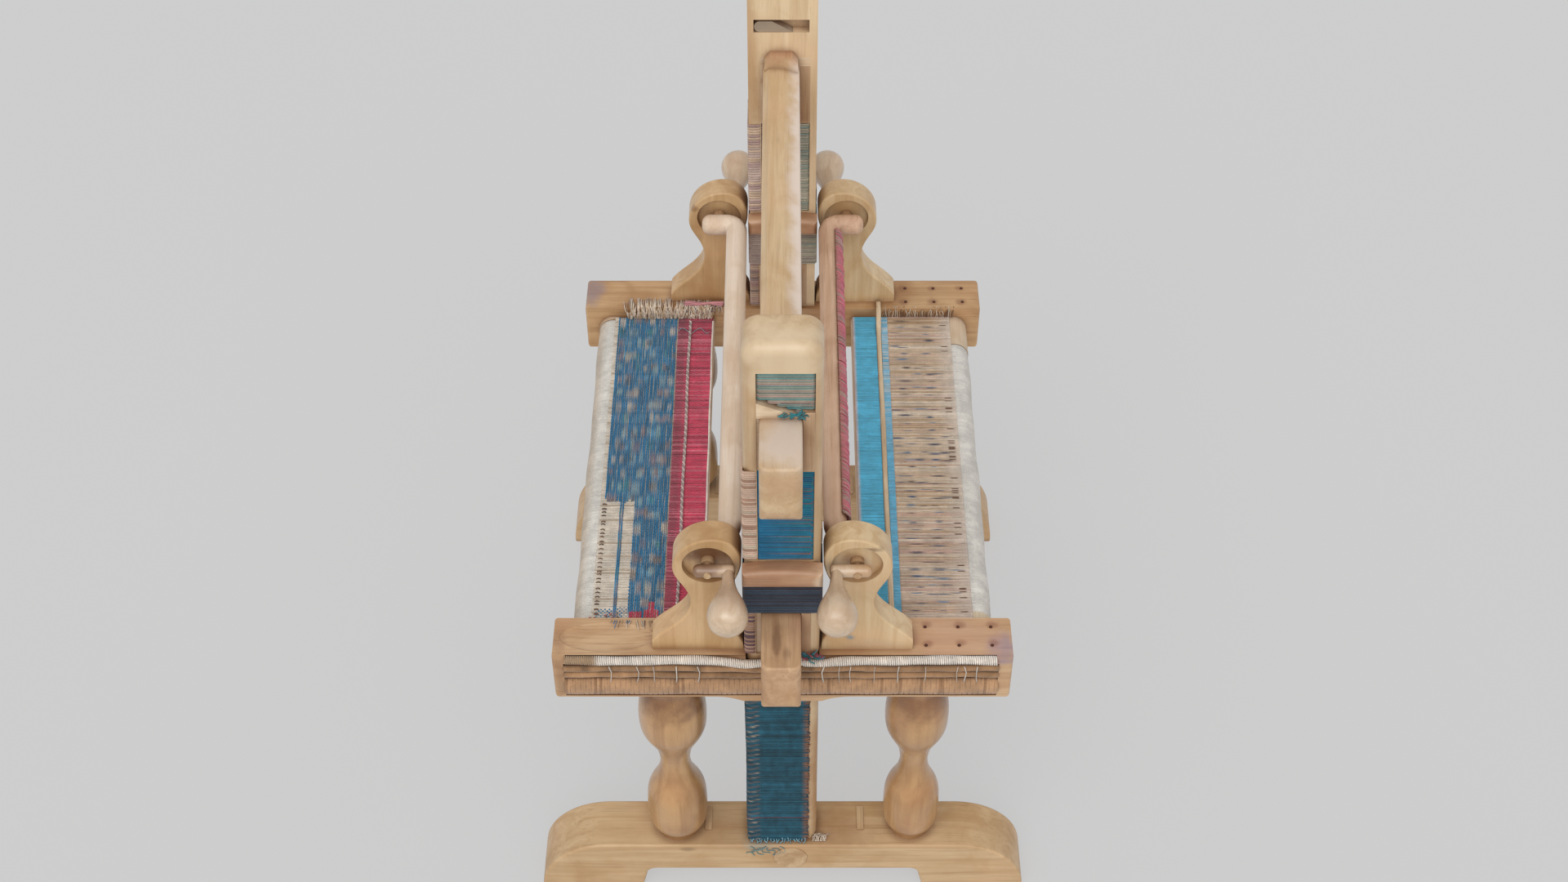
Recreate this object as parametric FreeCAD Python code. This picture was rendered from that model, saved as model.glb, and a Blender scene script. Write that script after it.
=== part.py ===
import FreeCAD
import Part
import math
import os

from FreeCAD import Vector

# Tapestry frame loom, millimetres. +Z up, +X right, -Y front. The origin is on the
# floor, at the middle of the frame. Two trestles, one at the front and one at the
# rear, are mirror images about Y = 0, so each trestle piece is made at the front and
# mirrored for the rear. Two long beams join the posts.

# Trestle plan
TRESTLE_Y = 285.0
RAIL_HALF_LENGTH = 250.0
RAIL_DEPTH = 58.0
RAIL_BOTTOM, RAIL_TOP = 367.0, 432.0
POST_HALF_WIDTH = 40.0
POST_DEPTH = 48.0
FRONT_POST_TOP, REAR_POST_TOP = 884.0, 902.0
FOOT_HALF_LENGTH = 291.0
FOOT_DEPTH = 66.0
FOOT_TOP = 87.0
FOOT_SHOULDER_R = 84.0
ARCH_HALF_WIDTH, ARCH_TOP, ARCH_CORNER_R = 170.0, 39.0, 12.0
BALUSTER_X = {"left": -124.5, "right": 152.0}
BALUSTER_GIRTH = {"left": 1.0, "right": 0.93}
SPIGOT_R, SPIGOT_LENGTH = 12.5, 20.0

# Planes worked out from the plan
RAIL_OUTER_Y = -(TRESTLE_Y + RAIL_DEPTH / 2)
RAIL_INNER_Y = -(TRESTLE_Y - RAIL_DEPTH / 2)
POST_OUTER_Y = -(TRESTLE_Y + POST_DEPTH / 2)
POST_INNER_Y = -(TRESTLE_Y - POST_DEPTH / 2)
FOOT_OUTER_Y = -(TRESTLE_Y + FOOT_DEPTH / 2)
FOOT_INNER_Y = -(TRESTLE_Y - FOOT_DEPTH / 2)

# Post window and mortises
WINDOW_LEFT, WINDOW_RIGHT = -25.5, 32.0
WINDOW_BOTTOM = 586.0
FRONT_WINDOW_TOP, REAR_WINDOW_TOP = 850.0, 811.0
LOW_MORTISE_LEFT, LOW_MORTISE_RIGHT = -28.6, 30.0
POST_TENON_HALF, POST_TENON_DEPTH, POST_TENON_HEIGHT = 25.0, 30.0, 30.0

# Beams
BEAM_LEFT, BEAM_RIGHT = -22.5, 19.5
UPPER_BOTTOM, UPPER_TENON_TOP, UPPER_TOP = 718.0, 791.0, 806.0
LOWER_BOTTOM, LOWER_TENON_BOTTOM, LOWER_TOP = 432.0, 435.0, 503.0
UPPER_END_Y, LOWER_END_Y = -379.0, -386.0
SHOULDER_TOP, SHOULDER_LENGTH = 820.0, 14.0
KEY_TOP = 799.0
SLIDE_GAP = 0.05

# Scroll brackets and crank bars
BRACKET_DEPTH = 30.0
BRACKET_OUTER_Y = -(TRESTLE_Y + BRACKET_DEPTH / 2)
BRACKET_INNER_Y = -(TRESTLE_Y - BRACKET_DEPTH / 2)
PIVOT_X, PIVOT_Z = 78.0, 568.0
HOLLOW_R, HOLLOW_DEPTH = 27.0, 7.0
PIN_R, PIN_GAP, PIN_TIP_R = 7.5, 0.05, 4.0
PIN_PAST_AXIS = 5.0
CRANK_THROW = 22.0
BAR_R = 12.5
ARM_OVERHANG = 8.0
ARM_END_R = 10.0
OUTER_ARM_R, OUTER_ARM_END_R = 7.0, 5.5
ARM_GAP = 0.5
BEND_R = BAR_R + 1.5
HANDLE_LENGTH = 90.0
COLLAR_BOTTOM, COLLAR_TOP, COLLAR_DEPTH, COLLAR_HALF = 561.0, 586.0, 18.0, 42.0

# Side rollers and stretched work
ROLLER_X, ROLLER_Z = 214.0, 400.0
ROLLER_R, ROLLER_CORE_R = 19.5, 16.5
JOURNAL_R, JOURNAL_LENGTH = 10.0, 15.0
INNER_BAR_X, INNER_BAR_Z, INNER_BAR_R = 90.0, 413.0, 4.0
CLOTH_TOP, CLOTH_THICK = 420.0, 3.0
CLOTH_HALF = 255.0

# Edges of the stretched work, measured out from the middle
WORK_INNER_X = 88.0
BRAID_X0, BRAID_X1, BRAID_THICK = 114.0, 120.0, 3.0
RED_BAND_OUTER_X = 131.0
STICK_X0, STICK_X1, STICK_DROP, STICK_RISE = 118.0, 124.0, 5.0, 2.0
BLUE_BAND_OUTER_X = 132.0
YARN_FRONT_END, YARN_REAR_END = {"left": -250.0, "right": -236.0}, {"left": 250.0, "right": 204.0}

# Yarn skins and the canes on the rails
SKIN = 2.0
REBATE_LEFT, REBATE_RIGHT, REBATE_DEPTH = -238.0, 235.0, 4.0
CANE_R, CANE_ZS = 4.6, (405.0, 416.0)
ROLL_BOTTOM, ROLL_TOP, ROLL_BULGE = 369.0, 397.0, 8.5
LACING_LEFT, LACING_RIGHT = -236.0, 232.0
LACING_R, LACING_Z = 5.5, 429.0

# Small fastenings
NAIL_XS, NAIL_YS = (156.0, 192.0, 228.0), (-295.0, -269.0)
NAIL_HEAD_R, NAIL_SHANK_R, NAIL_PROUD, NAIL_SUNK, NAIL_DEPTH = 1.9, 1.0, 0.6, 0.4, 12.0
DOWEL_XS, DOWEL_R, DOWEL_REACH = (70.0, 122.0), 5.0, 15.0
FOOT_KEY_XS, FOOT_KEY_WIDTH, FOOT_KEY_LENGTH = (-89.0, 93.0), 8.0, 34.0
FOOT_KEY_SUNK, FOOT_KEY_PROUD = 8.0, 1.0
PLUG_X, PLUG_Z, PLUG_R, PLUG_PROUD, PLUG_SUNK = 9.5, 63.0, 20.0, 1.0, 6.0
SLOT_LEFT, SLOT_RIGHT, SLOT_BOTTOM, SLOT_TOP, SLOT_DEPTH = -33.0, 30.5, 845.0, 862.0, 12.0
BOSS_HALF, BOSS_BOTTOM, BOSS_FADE = 43.0, 359.0, 33.0


def box(x0, x1, y0, y1, z0, z1):
    return Part.makeBox(x1 - x0, y1 - y0, z1 - z0, Vector(x0, y0, z0))


def rod(start, end, radius):
    start = Vector(*start)
    along = Vector(*end) - start
    return Part.makeCylinder(radius, along.Length, start, along)


def ball(centre, radius):
    return Part.makeSphere(radius, Vector(*centre))


def arc(start, middle, end):
    return Part.Arc(start, middle, end).toShape()


def line(start, end):
    return Part.LineSegment(start, end).toShape()


def plate(edges, y0, y1):
    """A solid with an outline in the XZ plane, from y0 to y1."""
    face = Part.Face(Part.Wire(edges))
    solid = face.extrude(Vector(0, y1 - y0, 0))
    solid.translate(Vector(0, y0, 0))
    return solid


def polygon_plate(points, y0, y1):
    corners = [Vector(x, 0, z) for x, z in points]
    return plate([line(a, b) for a, b in zip(corners, corners[1:] + corners[:1])], y0, y1)


def spun(profile, axis_point, axis):
    """A turned solid. profile is a face that touches the axis."""
    return profile.revolve(Vector(*axis_point), Vector(*axis), 360)


def soften(solid, radius, wanted):
    """Round the edges whose middle point and direction satisfy wanted."""
    edges = []
    for edge in solid.Edges:
        middle = edge.valueAt((edge.FirstParameter + edge.LastParameter) / 2)
        if wanted(edge, middle):
            edges.append(edge)
    return solid.makeFillet(radius, edges)


def runs_along(edge, axis):
    ends = edge.Vertexes
    if len(ends) < 2:
        return False
    along = ends[1].Point - ends[0].Point
    return abs(along.dot(axis)) > 0.999 * along.Length


def to_rear(solid):
    return solid.mirror(Vector(0, 0, 0), Vector(0, 1, 0))


def to_right(solid):
    return solid.mirror(Vector(0, 0, 0), Vector(1, 0, 0))


# Feet, balusters and rails


def foot_outline():
    top, half, radius = FOOT_TOP, FOOT_HALF_LENGTH, FOOT_SHOULDER_R
    low = top - radius
    flat = half - radius
    bend = radius * math.sqrt(0.5)
    corner = ARCH_CORNER_R
    leg = ARCH_HALF_WIDTH - 6
    knee = ARCH_TOP - corner
    half_turn = corner * (1 - math.sqrt(0.5))
    right = [
        line(Vector(0, 0, top), Vector(flat, 0, top)),
        arc(Vector(flat, 0, top), Vector(flat + bend, 0, low + bend), Vector(half, 0, low)),
        line(Vector(half, 0, low), Vector(half, 0, 0)),
        line(Vector(half, 0, 0), Vector(ARCH_HALF_WIDTH, 0, 0)),
        line(Vector(ARCH_HALF_WIDTH, 0, 0), Vector(leg, 0, knee)),
        arc(
            Vector(leg, 0, knee),
            Vector(leg - half_turn, 0, ARCH_TOP - half_turn),
            Vector(leg - corner, 0, ARCH_TOP),
        ),
        line(Vector(leg - corner, 0, ARCH_TOP), Vector(0, 0, ARCH_TOP)),
    ]
    left = [edge.mirror(Vector(0, 0, 0), Vector(1, 0, 0)) for edge in right]
    return right + left


def post_tenon():
    return box(
        -POST_TENON_HALF, POST_TENON_HALF,
        -TRESTLE_Y - POST_TENON_DEPTH / 2, -TRESTLE_Y + POST_TENON_DEPTH / 2,
        FOOT_TOP - POST_TENON_HEIGHT, FOOT_TOP,
    )


def foot_plug():
    """A turned cover plug let into the foot's outer face."""
    outer_end = (PLUG_X, FOOT_OUTER_Y - PLUG_PROUD, PLUG_Z)
    plug = rod(outer_end, (PLUG_X, FOOT_OUTER_Y + PLUG_SUNK, PLUG_Z), PLUG_R)
    return soften(plug, 0.8, lambda edge, middle: middle.y < FOOT_OUTER_Y - PLUG_PROUD / 2)


def foot_keys():
    """Two small keys let into the top of the foot, either side of the post."""
    half, front = FOOT_KEY_WIDTH / 2, -TRESTLE_Y - 10
    low, high = FOOT_TOP - FOOT_KEY_SUNK, FOOT_TOP + FOOT_KEY_PROUD
    return [
        box(x - half, x + half, front, front + FOOT_KEY_LENGTH, low, high) for x in FOOT_KEY_XS
    ]


def spigot(x, z0, z1):
    return rod((x, -TRESTLE_Y, z0), (x, -TRESTLE_Y, z1), SPIGOT_R)


def foot():
    solid = plate(foot_outline(), FOOT_OUTER_Y, FOOT_INNER_Y)
    faces = (FOOT_OUTER_Y, FOOT_INNER_Y)
    solid = soften(
        solid, 3.0,
        lambda edge, middle: min(abs(middle.y - y) for y in faces) < 0.01 and middle.z > 1,
    )
    solid = solid.cut(post_tenon()).cut(foot_plug())
    for key in foot_keys():
        solid = solid.cut(key)
    for x in BALUSTER_X.values():
        solid = solid.cut(spigot(x, FOOT_TOP - SPIGOT_LENGTH, FOOT_TOP))
    return solid


def baluster(x, girth):
    """A turned leg: a small bulb, a waist and a large bulb, with a spigot at each end."""
    rings = [
        (25, 89), (26.5, 95), (32, 104), (34.6, 116), (35.2, 132), (34.9, 150), (33.2, 165),
        (28.7, 178), (22.4, 192), (18.8, 205), (17.3, 218), (18.4, 231), (21.3, 245), (26.5, 258),
        (32.6, 271), (36.9, 283), (38.5, 297), (38.6, 309), (37, 328), (29, 357),
    ]
    points = [Vector(x + girth * radius, -TRESTLE_Y, z) for radius, z in rings]
    curve = Part.BSplineCurve()
    curve.interpolate(points)
    foot_edge = Vector(points[0].x, -TRESTLE_Y, FOOT_TOP)
    head_edge = Vector(points[-1].x, -TRESTLE_Y, RAIL_BOTTOM)
    foot_axis = Vector(x, -TRESTLE_Y, FOOT_TOP)
    head_axis = Vector(x, -TRESTLE_Y, RAIL_BOTTOM)
    profile = Part.Face(Part.Wire([
        line(foot_axis, foot_edge),
        line(foot_edge, points[0]),
        curve.toShape(),
        line(points[-1], head_edge),
        line(head_edge, head_axis),
        line(head_axis, foot_axis),
    ]))
    turned = spun(profile, (x, -TRESTLE_Y, 0), (0, 0, 1))
    low = spigot(x, FOOT_TOP - SPIGOT_LENGTH, FOOT_TOP)
    high = spigot(x, RAIL_BOTTOM, RAIL_BOTTOM + SPIGOT_LENGTH)
    return turned.fuse([low, high]).removeSplitter()


def rail_outline():
    """The rail from the front. Its underside drops in a shallow boss round the post."""
    half, top, bottom = RAIL_HALF_LENGTH, RAIL_TOP, RAIL_BOTTOM
    drop = bottom - BOSS_BOTTOM
    radius = (BOSS_FADE ** 2 + drop ** 2) / (2 * drop)
    boss_end = BOSS_HALF + BOSS_FADE
    middle_x = BOSS_HALF + BOSS_FADE / 2
    middle_z = bottom - radius + math.sqrt(radius ** 2 - (BOSS_FADE / 2) ** 2)
    right = [
        line(Vector(0, 0, top), Vector(half, 0, top)),
        line(Vector(half, 0, top), Vector(half, 0, bottom)),
        line(Vector(half, 0, bottom), Vector(boss_end, 0, bottom)),
        arc(
            Vector(boss_end, 0, bottom),
            Vector(middle_x, 0, middle_z),
            Vector(BOSS_HALF, 0, BOSS_BOTTOM),
        ),
        line(Vector(BOSS_HALF, 0, BOSS_BOTTOM), Vector(0, 0, BOSS_BOTTOM)),
    ]
    left = [edge.mirror(Vector(0, 0, 0), Vector(1, 0, 0)) for edge in right]
    return right + left


def rail_nails():
    """Two rows of three small nails in the right end of the rail's top."""
    head_top, head_seat = RAIL_TOP + NAIL_PROUD, RAIL_TOP - NAIL_SUNK
    nails = []
    for x in NAIL_XS:
        for y in NAIL_YS:
            head = rod((x, y, head_seat), (x, y, head_top), NAIL_HEAD_R)
            shank = rod((x, y, RAIL_TOP - NAIL_DEPTH), (x, y, head_seat), NAIL_SHANK_R)
            nails.append(head.fuse(shank))
    return nails


def canes():
    """Two thin canes and one thick half-round roll in the rebate of the rail's face."""
    left, right = REBATE_LEFT, REBATE_RIGHT
    back = RAIL_OUTER_Y + REBATE_DEPTH
    solids = [
        rod((left, back - CANE_R, z), (right, back - CANE_R, z), CANE_R)
        for z in CANE_ZS
    ]
    middle_z = (ROLL_BOTTOM + ROLL_TOP) / 2
    low, high = Vector(left, back, ROLL_BOTTOM), Vector(left, back, ROLL_TOP)
    crown = Vector(left, back - ROLL_BULGE, middle_z)
    half_round = Part.Face(Part.Wire([arc(low, crown, high), line(high, low)]))
    solids.append(half_round.extrude(Vector(right - left, 0, 0)))
    return solids


def lacing():
    """The thick wrapped cord along the front rail's top edge, pressed flat on the post."""
    y = RAIL_OUTER_Y + 1
    cord = rod((LACING_LEFT, y, LACING_Z), (LACING_RIGHT, y, LACING_Z), LACING_R)
    post = box(
        -POST_HALF_WIDTH, POST_HALF_WIDTH, POST_OUTER_Y, POST_INNER_Y, RAIL_BOTTOM, RAIL_TOP + LACING_R
    )
    return cord.cut(post)


def scoop():
    """The shallow hand-worn hollow in the top of the front rail's left end."""
    half_length, half_width, depth = 52.0, 21.0, 3.5
    hollow = ball((0, 0, 0), 1.0)
    stretch = FreeCAD.Matrix()
    stretch.scale(half_length, half_width, depth)
    stretch.move(Vector(-192, -TRESTLE_Y + 2, RAIL_TOP))
    return hollow.transformGeometry(stretch)


def dowels():
    """The two dowels that hold each scroll bracket to its rail, left and right."""
    low, high = RAIL_TOP - DOWEL_REACH, RAIL_TOP + DOWEL_REACH
    return [
        rod((side * x, -TRESTLE_Y, low), (side * x, -TRESTLE_Y, high), DOWEL_R)
        for side in (-1, 1)
        for x in DOWEL_XS
    ]


def rail(laced):
    """A rail with its mortise, holes and rebate. The laced one has a cove for the cord,
    the other has a rounded top edge instead."""
    solid = plate(rail_outline(), RAIL_OUTER_Y, RAIL_INNER_Y)
    if not laced:
        solid = soften(
            solid, 6.0,
            lambda edge, middle: middle.z > RAIL_TOP - 0.01 and middle.y < RAIL_OUTER_Y + 0.01,
        )
    solid = soften(
        solid, 4.0,
        lambda edge, middle: abs(abs(middle.x) - RAIL_HALF_LENGTH) < 0.01
        and middle.z < RAIL_TOP - 7,
    )
    post = box(
        -POST_HALF_WIDTH, POST_HALF_WIDTH, POST_OUTER_Y, POST_INNER_Y, RAIL_BOTTOM - 20, RAIL_TOP
    )
    rebate = box(
        REBATE_LEFT, REBATE_RIGHT, RAIL_OUTER_Y - 1, RAIL_OUTER_Y + REBATE_DEPTH,
        ROLL_BOTTOM, LACING_Z - LACING_R,
    )
    solid = solid.cut(post).cut(rebate)
    if laced:
        solid = solid.cut(lacing())
    for x in BALUSTER_X.values():
        solid = solid.cut(spigot(x, RAIL_BOTTOM, RAIL_BOTTOM + SPIGOT_LENGTH))
    for side in (-1, 1):
        roller = (side * ROLLER_X, RAIL_INNER_Y, ROLLER_Z)
        roller_end = (side * ROLLER_X, RAIL_INNER_Y - JOURNAL_LENGTH, ROLLER_Z)
        bar = (side * INNER_BAR_X, RAIL_INNER_Y, INNER_BAR_Z)
        bar_end = (side * INNER_BAR_X, RAIL_INNER_Y - 10, INNER_BAR_Z)
        solid = solid.cut(rod(roller, roller_end, JOURNAL_R)).cut(rod(bar, bar_end, INNER_BAR_R))
    for piece in dowels() + rail_nails():
        solid = solid.cut(piece)
    return solid


# Posts, windings and collars


def window(z0, z1):
    return box(WINDOW_LEFT, WINDOW_RIGHT, POST_OUTER_Y - 5, POST_INNER_Y + 5, z0, z1)


def low_mortise():
    return box(
        LOW_MORTISE_LEFT, LOW_MORTISE_RIGHT,
        POST_OUTER_Y - 5, POST_INNER_Y + 5, LOWER_TENON_BOTTOM, LOWER_TOP,
    )


def post_blank(top, shoulder):
    """A post standing on its foot, with rounded shoulders and a softened head."""
    half = POST_HALF_WIDTH
    bend = shoulder * (1 - math.sqrt(0.5))
    right = [
        line(Vector(0, 0, top), Vector(half - shoulder, 0, top)),
        arc(
            Vector(half - shoulder, 0, top),
            Vector(half - bend, 0, top - bend),
            Vector(half, 0, top - shoulder),
        ),
        line(Vector(half, 0, top - shoulder), Vector(half, 0, FOOT_TOP)),
        line(Vector(half, 0, FOOT_TOP), Vector(0, 0, FOOT_TOP)),
    ]
    left = [edge.mirror(Vector(0, 0, 0), Vector(1, 0, 0)) for edge in right]
    return plate(right + left, POST_OUTER_Y, POST_INNER_Y)


def front_post():
    solid = post_blank(FRONT_POST_TOP, 19.0)
    for face_y, radius in ((POST_OUTER_Y, 12.0), (POST_INNER_Y, 3.0)):
        solid = soften(
            solid, radius,
            lambda edge, middle: middle.z > FRONT_POST_TOP - 19 and abs(middle.y - face_y) < 0.01,
        )
    solid = solid.cut(window(WINDOW_BOTTOM, FRONT_WINDOW_TOP)).cut(low_mortise())
    return solid.fuse(post_tenon()).removeSplitter()


def rear_post():
    """Made at the front and mirrored: taller, with a shallow slot on its inner face."""
    solid = post_blank(REAR_POST_TOP, 8.0)
    solid = solid.cut(window(WINDOW_BOTTOM, REAR_WINDOW_TOP)).cut(low_mortise())
    solid = solid.cut(rear_slot())
    return to_rear(solid.fuse(post_tenon()).removeSplitter())


def rear_slot():
    back = POST_INNER_Y - SLOT_DEPTH
    return box(SLOT_LEFT, SLOT_RIGHT, back, POST_INNER_Y + 1, SLOT_BOTTOM, SLOT_TOP)


def rear_slot_peg():
    """A tapered tongue with a round left end, lying in the slot of the rear post."""
    radius = 7.0
    low, high = SLOT_BOTTOM, SLOT_BOTTOM + 2 * radius
    round_x, tip_x, shoulder_x = SLOT_LEFT + radius + 0.5, 12.0, -12.0
    outline = [
        line(Vector(round_x, 0, low), Vector(tip_x, 0, low)),
        line(Vector(tip_x, 0, low), Vector(shoulder_x, 0, high)),
        line(Vector(shoulder_x, 0, high), Vector(round_x, 0, high)),
        arc(
            Vector(round_x, 0, high),
            Vector(round_x - radius, 0, low + radius),
            Vector(round_x, 0, low),
        ),
    ]
    return to_rear(plate(outline, POST_INNER_Y - SLOT_DEPTH, POST_INNER_Y - 1))


def stile_wrap(right_edge, z0, z1):
    """Yarn round the left stile: a skin over its front, side and back."""
    skin = box(
        -POST_HALF_WIDTH - SKIN, right_edge, POST_OUTER_Y - SKIN, POST_INNER_Y + SKIN, z0, z1
    )
    stile = box(-POST_HALF_WIDTH, right_edge, POST_OUTER_Y, POST_INNER_Y, z0, z1)
    return skin.cut(stile)


def window_winding():
    """Yarn wound round the left stile and across the window below the upper beam."""
    fill = box(
        WINDOW_LEFT, WINDOW_RIGHT, POST_OUTER_Y - 1, POST_INNER_Y + 1, WINDOW_BOTTOM, UPPER_BOTTOM
    )
    return fill.fuse(stile_wrap(WINDOW_LEFT, WINDOW_BOTTOM, UPPER_BOTTOM)).removeSplitter()


def band_winding():
    """Yarn round the whole post under the collar, running down the left stile."""
    outer = box(
        -POST_HALF_WIDTH - SKIN, POST_HALF_WIDTH + SKIN,
        POST_OUTER_Y - SKIN, POST_INNER_Y + SKIN, LOWER_TOP, COLLAR_BOTTOM,
    )
    post = box(
        -POST_HALF_WIDTH, POST_HALF_WIDTH, POST_OUTER_Y, POST_INNER_Y, LOWER_TOP, COLLAR_BOTTOM
    )
    tail = stile_wrap(LOW_MORTISE_LEFT, LOWER_TENON_BOTTOM, LOWER_TOP)
    return outer.cut(post).fuse(tail).removeSplitter()


def top_winding():
    """The open warp threads that close the window above the front wedge."""
    return polygon_plate(
        [
            (WINDOW_LEFT, UPPER_TENON_TOP + 20), (BEAM_RIGHT, UPPER_TENON_TOP + 1.7),
            (BEAM_RIGHT, KEY_TOP), (WINDOW_RIGHT, KEY_TOP),
            (WINDOW_RIGHT, FRONT_WINDOW_TOP), (WINDOW_LEFT, FRONT_WINDOW_TOP),
        ],
        POST_OUTER_Y + 3, POST_INNER_Y - 3,
    )


def lower_sleeve():
    """The cloth sleeve on the post below the rail, open along its right edge."""
    return stile_wrap(30.0, FOOT_TOP, BOSS_BOTTOM)


def collars():
    """Two blocks, one on each face of the post, with arched tops."""
    half, low, spring = COLLAR_HALF, COLLAR_BOTTOM, COLLAR_TOP - 4
    outline = [
        line(Vector(-half, 0, low), Vector(half, 0, low)),
        line(Vector(half, 0, low), Vector(half, 0, spring)),
        arc(Vector(half, 0, spring), Vector(0, 0, COLLAR_TOP), Vector(-half, 0, spring)),
        line(Vector(-half, 0, spring), Vector(-half, 0, low)),
    ]
    outer = plate(outline, POST_OUTER_Y - COLLAR_DEPTH, POST_OUTER_Y)
    outer = soften(outer, 6.0, lambda edge, middle: middle.y < POST_OUTER_Y - COLLAR_DEPTH + 0.01)
    inner = plate(outline, POST_INNER_Y, POST_INNER_Y + COLLAR_DEPTH)
    inner = soften(inner, 6.0, lambda edge, middle: middle.y > POST_INNER_Y + COLLAR_DEPTH - 0.01)
    return [outer, inner]


# Beams, keys and wedges


def tenon_end(bottom, top, end_y):
    """The part of a beam that goes through the post and stands out in front of it."""
    solid = box(BEAM_LEFT, BEAM_RIGHT, end_y, POST_INNER_Y, bottom, top)
    solid = soften(
        solid, 9.0,
        lambda edge, middle: middle.y < end_y + 0.01 and middle.z < top - 1,
    )
    return soften(
        solid, 3.0,
        lambda edge, middle: middle.z > top - 0.01 and runs_along(edge, Vector(1, 0, 0))
        and middle.y < end_y + 1,
    )


def beam(body, bottom, top, end_y):
    front = tenon_end(bottom, top, end_y)
    return body.fuse([front, to_rear(front)]).removeSplitter()


def upper_beam():
    """The warp beam: a hewn bar with a broad facet on its right top edge."""
    body = polygon_plate(
        [
            (BEAM_LEFT, UPPER_BOTTOM), (BEAM_RIGHT, UPPER_BOTTOM), (BEAM_RIGHT, UPPER_TOP - 8),
            (2, UPPER_TOP - 1), (BEAM_LEFT + 7, UPPER_TOP), (BEAM_LEFT, UPPER_TOP - 7),
        ],
        POST_INNER_Y, -POST_INNER_Y,
    )
    body = soften(
        body, 3.0,
        lambda edge, middle: middle.z > UPPER_TOP - 12 and runs_along(edge, Vector(0, 1, 0)),
    )
    left, right, top = BEAM_LEFT + 1, BEAM_RIGHT - 1, SHOULDER_TOP
    shoulder = polygon_plate(
        [
            (left, UPPER_TENON_TOP), (right, UPPER_TENON_TOP), (right - 1, top - 8),
            (right - 7, top), (left + 7, top), (left + 1, top - 8),
        ],
        -POST_INNER_Y - SHOULDER_LENGTH, -POST_INNER_Y,
    )
    return beam(body.fuse(shoulder), UPPER_BOTTOM, UPPER_TENON_TOP, UPPER_END_Y)


def lower_beam():
    body = box(BEAM_LEFT, BEAM_RIGHT, POST_INNER_Y, -POST_INNER_Y, LOWER_BOTTOM, LOWER_TOP)
    body = soften(
        body, 6.0,
        lambda edge, middle: middle.z > LOWER_TOP - 1 and runs_along(edge, Vector(0, 1, 0)),
    )
    return beam(body, LOWER_TENON_BOTTOM, LOWER_TOP, LOWER_END_Y)


def side_key(right, bottom, top):
    """A flat key between a tenon and the right side of its mortise. It pulls out."""
    key = box(
        BEAM_RIGHT + SLIDE_GAP, right - SLIDE_GAP, POST_OUTER_Y - 1.5, POST_INNER_Y,
        bottom + SLIDE_GAP, top - SLIDE_GAP,
    )
    return soften(key, 1.0, lambda edge, middle: middle.y < POST_OUTER_Y - 1)


def wedge():
    """The tapered wedge driven over the upper tenon, thick at its left."""
    return polygon_plate(
        [
            (WINDOW_LEFT, UPPER_TENON_TOP), (BEAM_RIGHT, UPPER_TENON_TOP),
            (BEAM_RIGHT, UPPER_TENON_TOP + 1.7), (WINDOW_LEFT, UPPER_TENON_TOP + 20),
        ],
        POST_OUTER_Y - 0.5, POST_INNER_Y,
    )


def packing():
    """The thin strip that fills the mortise at the left of the upper tenon."""
    return box(
        WINDOW_LEFT, BEAM_LEFT, POST_OUTER_Y + 1, POST_INNER_Y, UPPER_BOTTOM, UPPER_TENON_TOP
    )


def counter_wedge():
    """The second wedge, which fills the rear window above the first one and the key."""
    return polygon_plate(
        [
            (WINDOW_LEFT, UPPER_TENON_TOP + 20), (BEAM_RIGHT, UPPER_TENON_TOP + 1.7),
            (BEAM_RIGHT, KEY_TOP), (WINDOW_RIGHT, KEY_TOP), (WINDOW_RIGHT, REAR_WINDOW_TOP),
        ],
        POST_OUTER_Y + 1, POST_INNER_Y,
    )


def lower_shim():
    return box(
        LOW_MORTISE_LEFT, BEAM_LEFT, POST_OUTER_Y + 2, POST_INNER_Y,
        LOWER_TENON_BOTTOM, LOWER_TOP - 3,
    )


# Scroll brackets and crank bars, made at the front left


def bracket_outline():
    """A round head on a waisted neck that flares to a long base on the rail."""
    base_left, base_right = -141.0, -42.0
    foot_left = Vector(base_left, 0, RAIL_TOP)
    foot_right = Vector(base_right, 0, RAIL_TOP)
    flare = [(base_left, 446), (-128, 461), (-109, 480), (-98, 505), (-103, 530)]
    head = [(-114.5, 555), (-107, 588), (-82, 605), (-57, 602), (-44.6, 585), (-45.5, 556)]
    heel = [(-57, 522), (-55, 480), (base_right - 1, 446)]
    curve = Part.BSplineCurve()
    curve.interpolate([Vector(x, 0, z) for x, z in flare + head + heel])
    return [
        line(foot_right, foot_left),
        line(foot_left, curve.StartPoint),
        curve.toShape(),
        line(curve.EndPoint, foot_right),
    ]


def bracket():
    """Each face has a round hollow behind the crank arm, and the pivot goes through."""
    solid = plate(bracket_outline(), BRACKET_OUTER_Y, BRACKET_INNER_Y)
    faces = (BRACKET_OUTER_Y, BRACKET_INNER_Y)
    solid = soften(
        solid, 2.5,
        lambda edge, middle: min(abs(middle.y - y) for y in faces) < 0.01
        and edge.Length > 4 * HOLLOW_R,
    )
    for face_y, direction in ((BRACKET_OUTER_Y, 1), (BRACKET_INNER_Y, -1)):
        start = (-PIVOT_X, face_y - direction, PIVOT_Z)
        end = (-PIVOT_X, face_y + direction * HOLLOW_DEPTH, PIVOT_Z)
        solid = solid.cut(rod(start, end, HOLLOW_R))
    bore = rod(
        (-PIVOT_X, BRACKET_OUTER_Y - 1, PIVOT_Z), (-PIVOT_X, BRACKET_INNER_Y + 1, PIVOT_Z),
        PIN_R + PIN_GAP,
    )
    solid = solid.cut(bore)
    for dowel in dowels():
        solid = solid.cut(dowel)
    return solid


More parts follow.
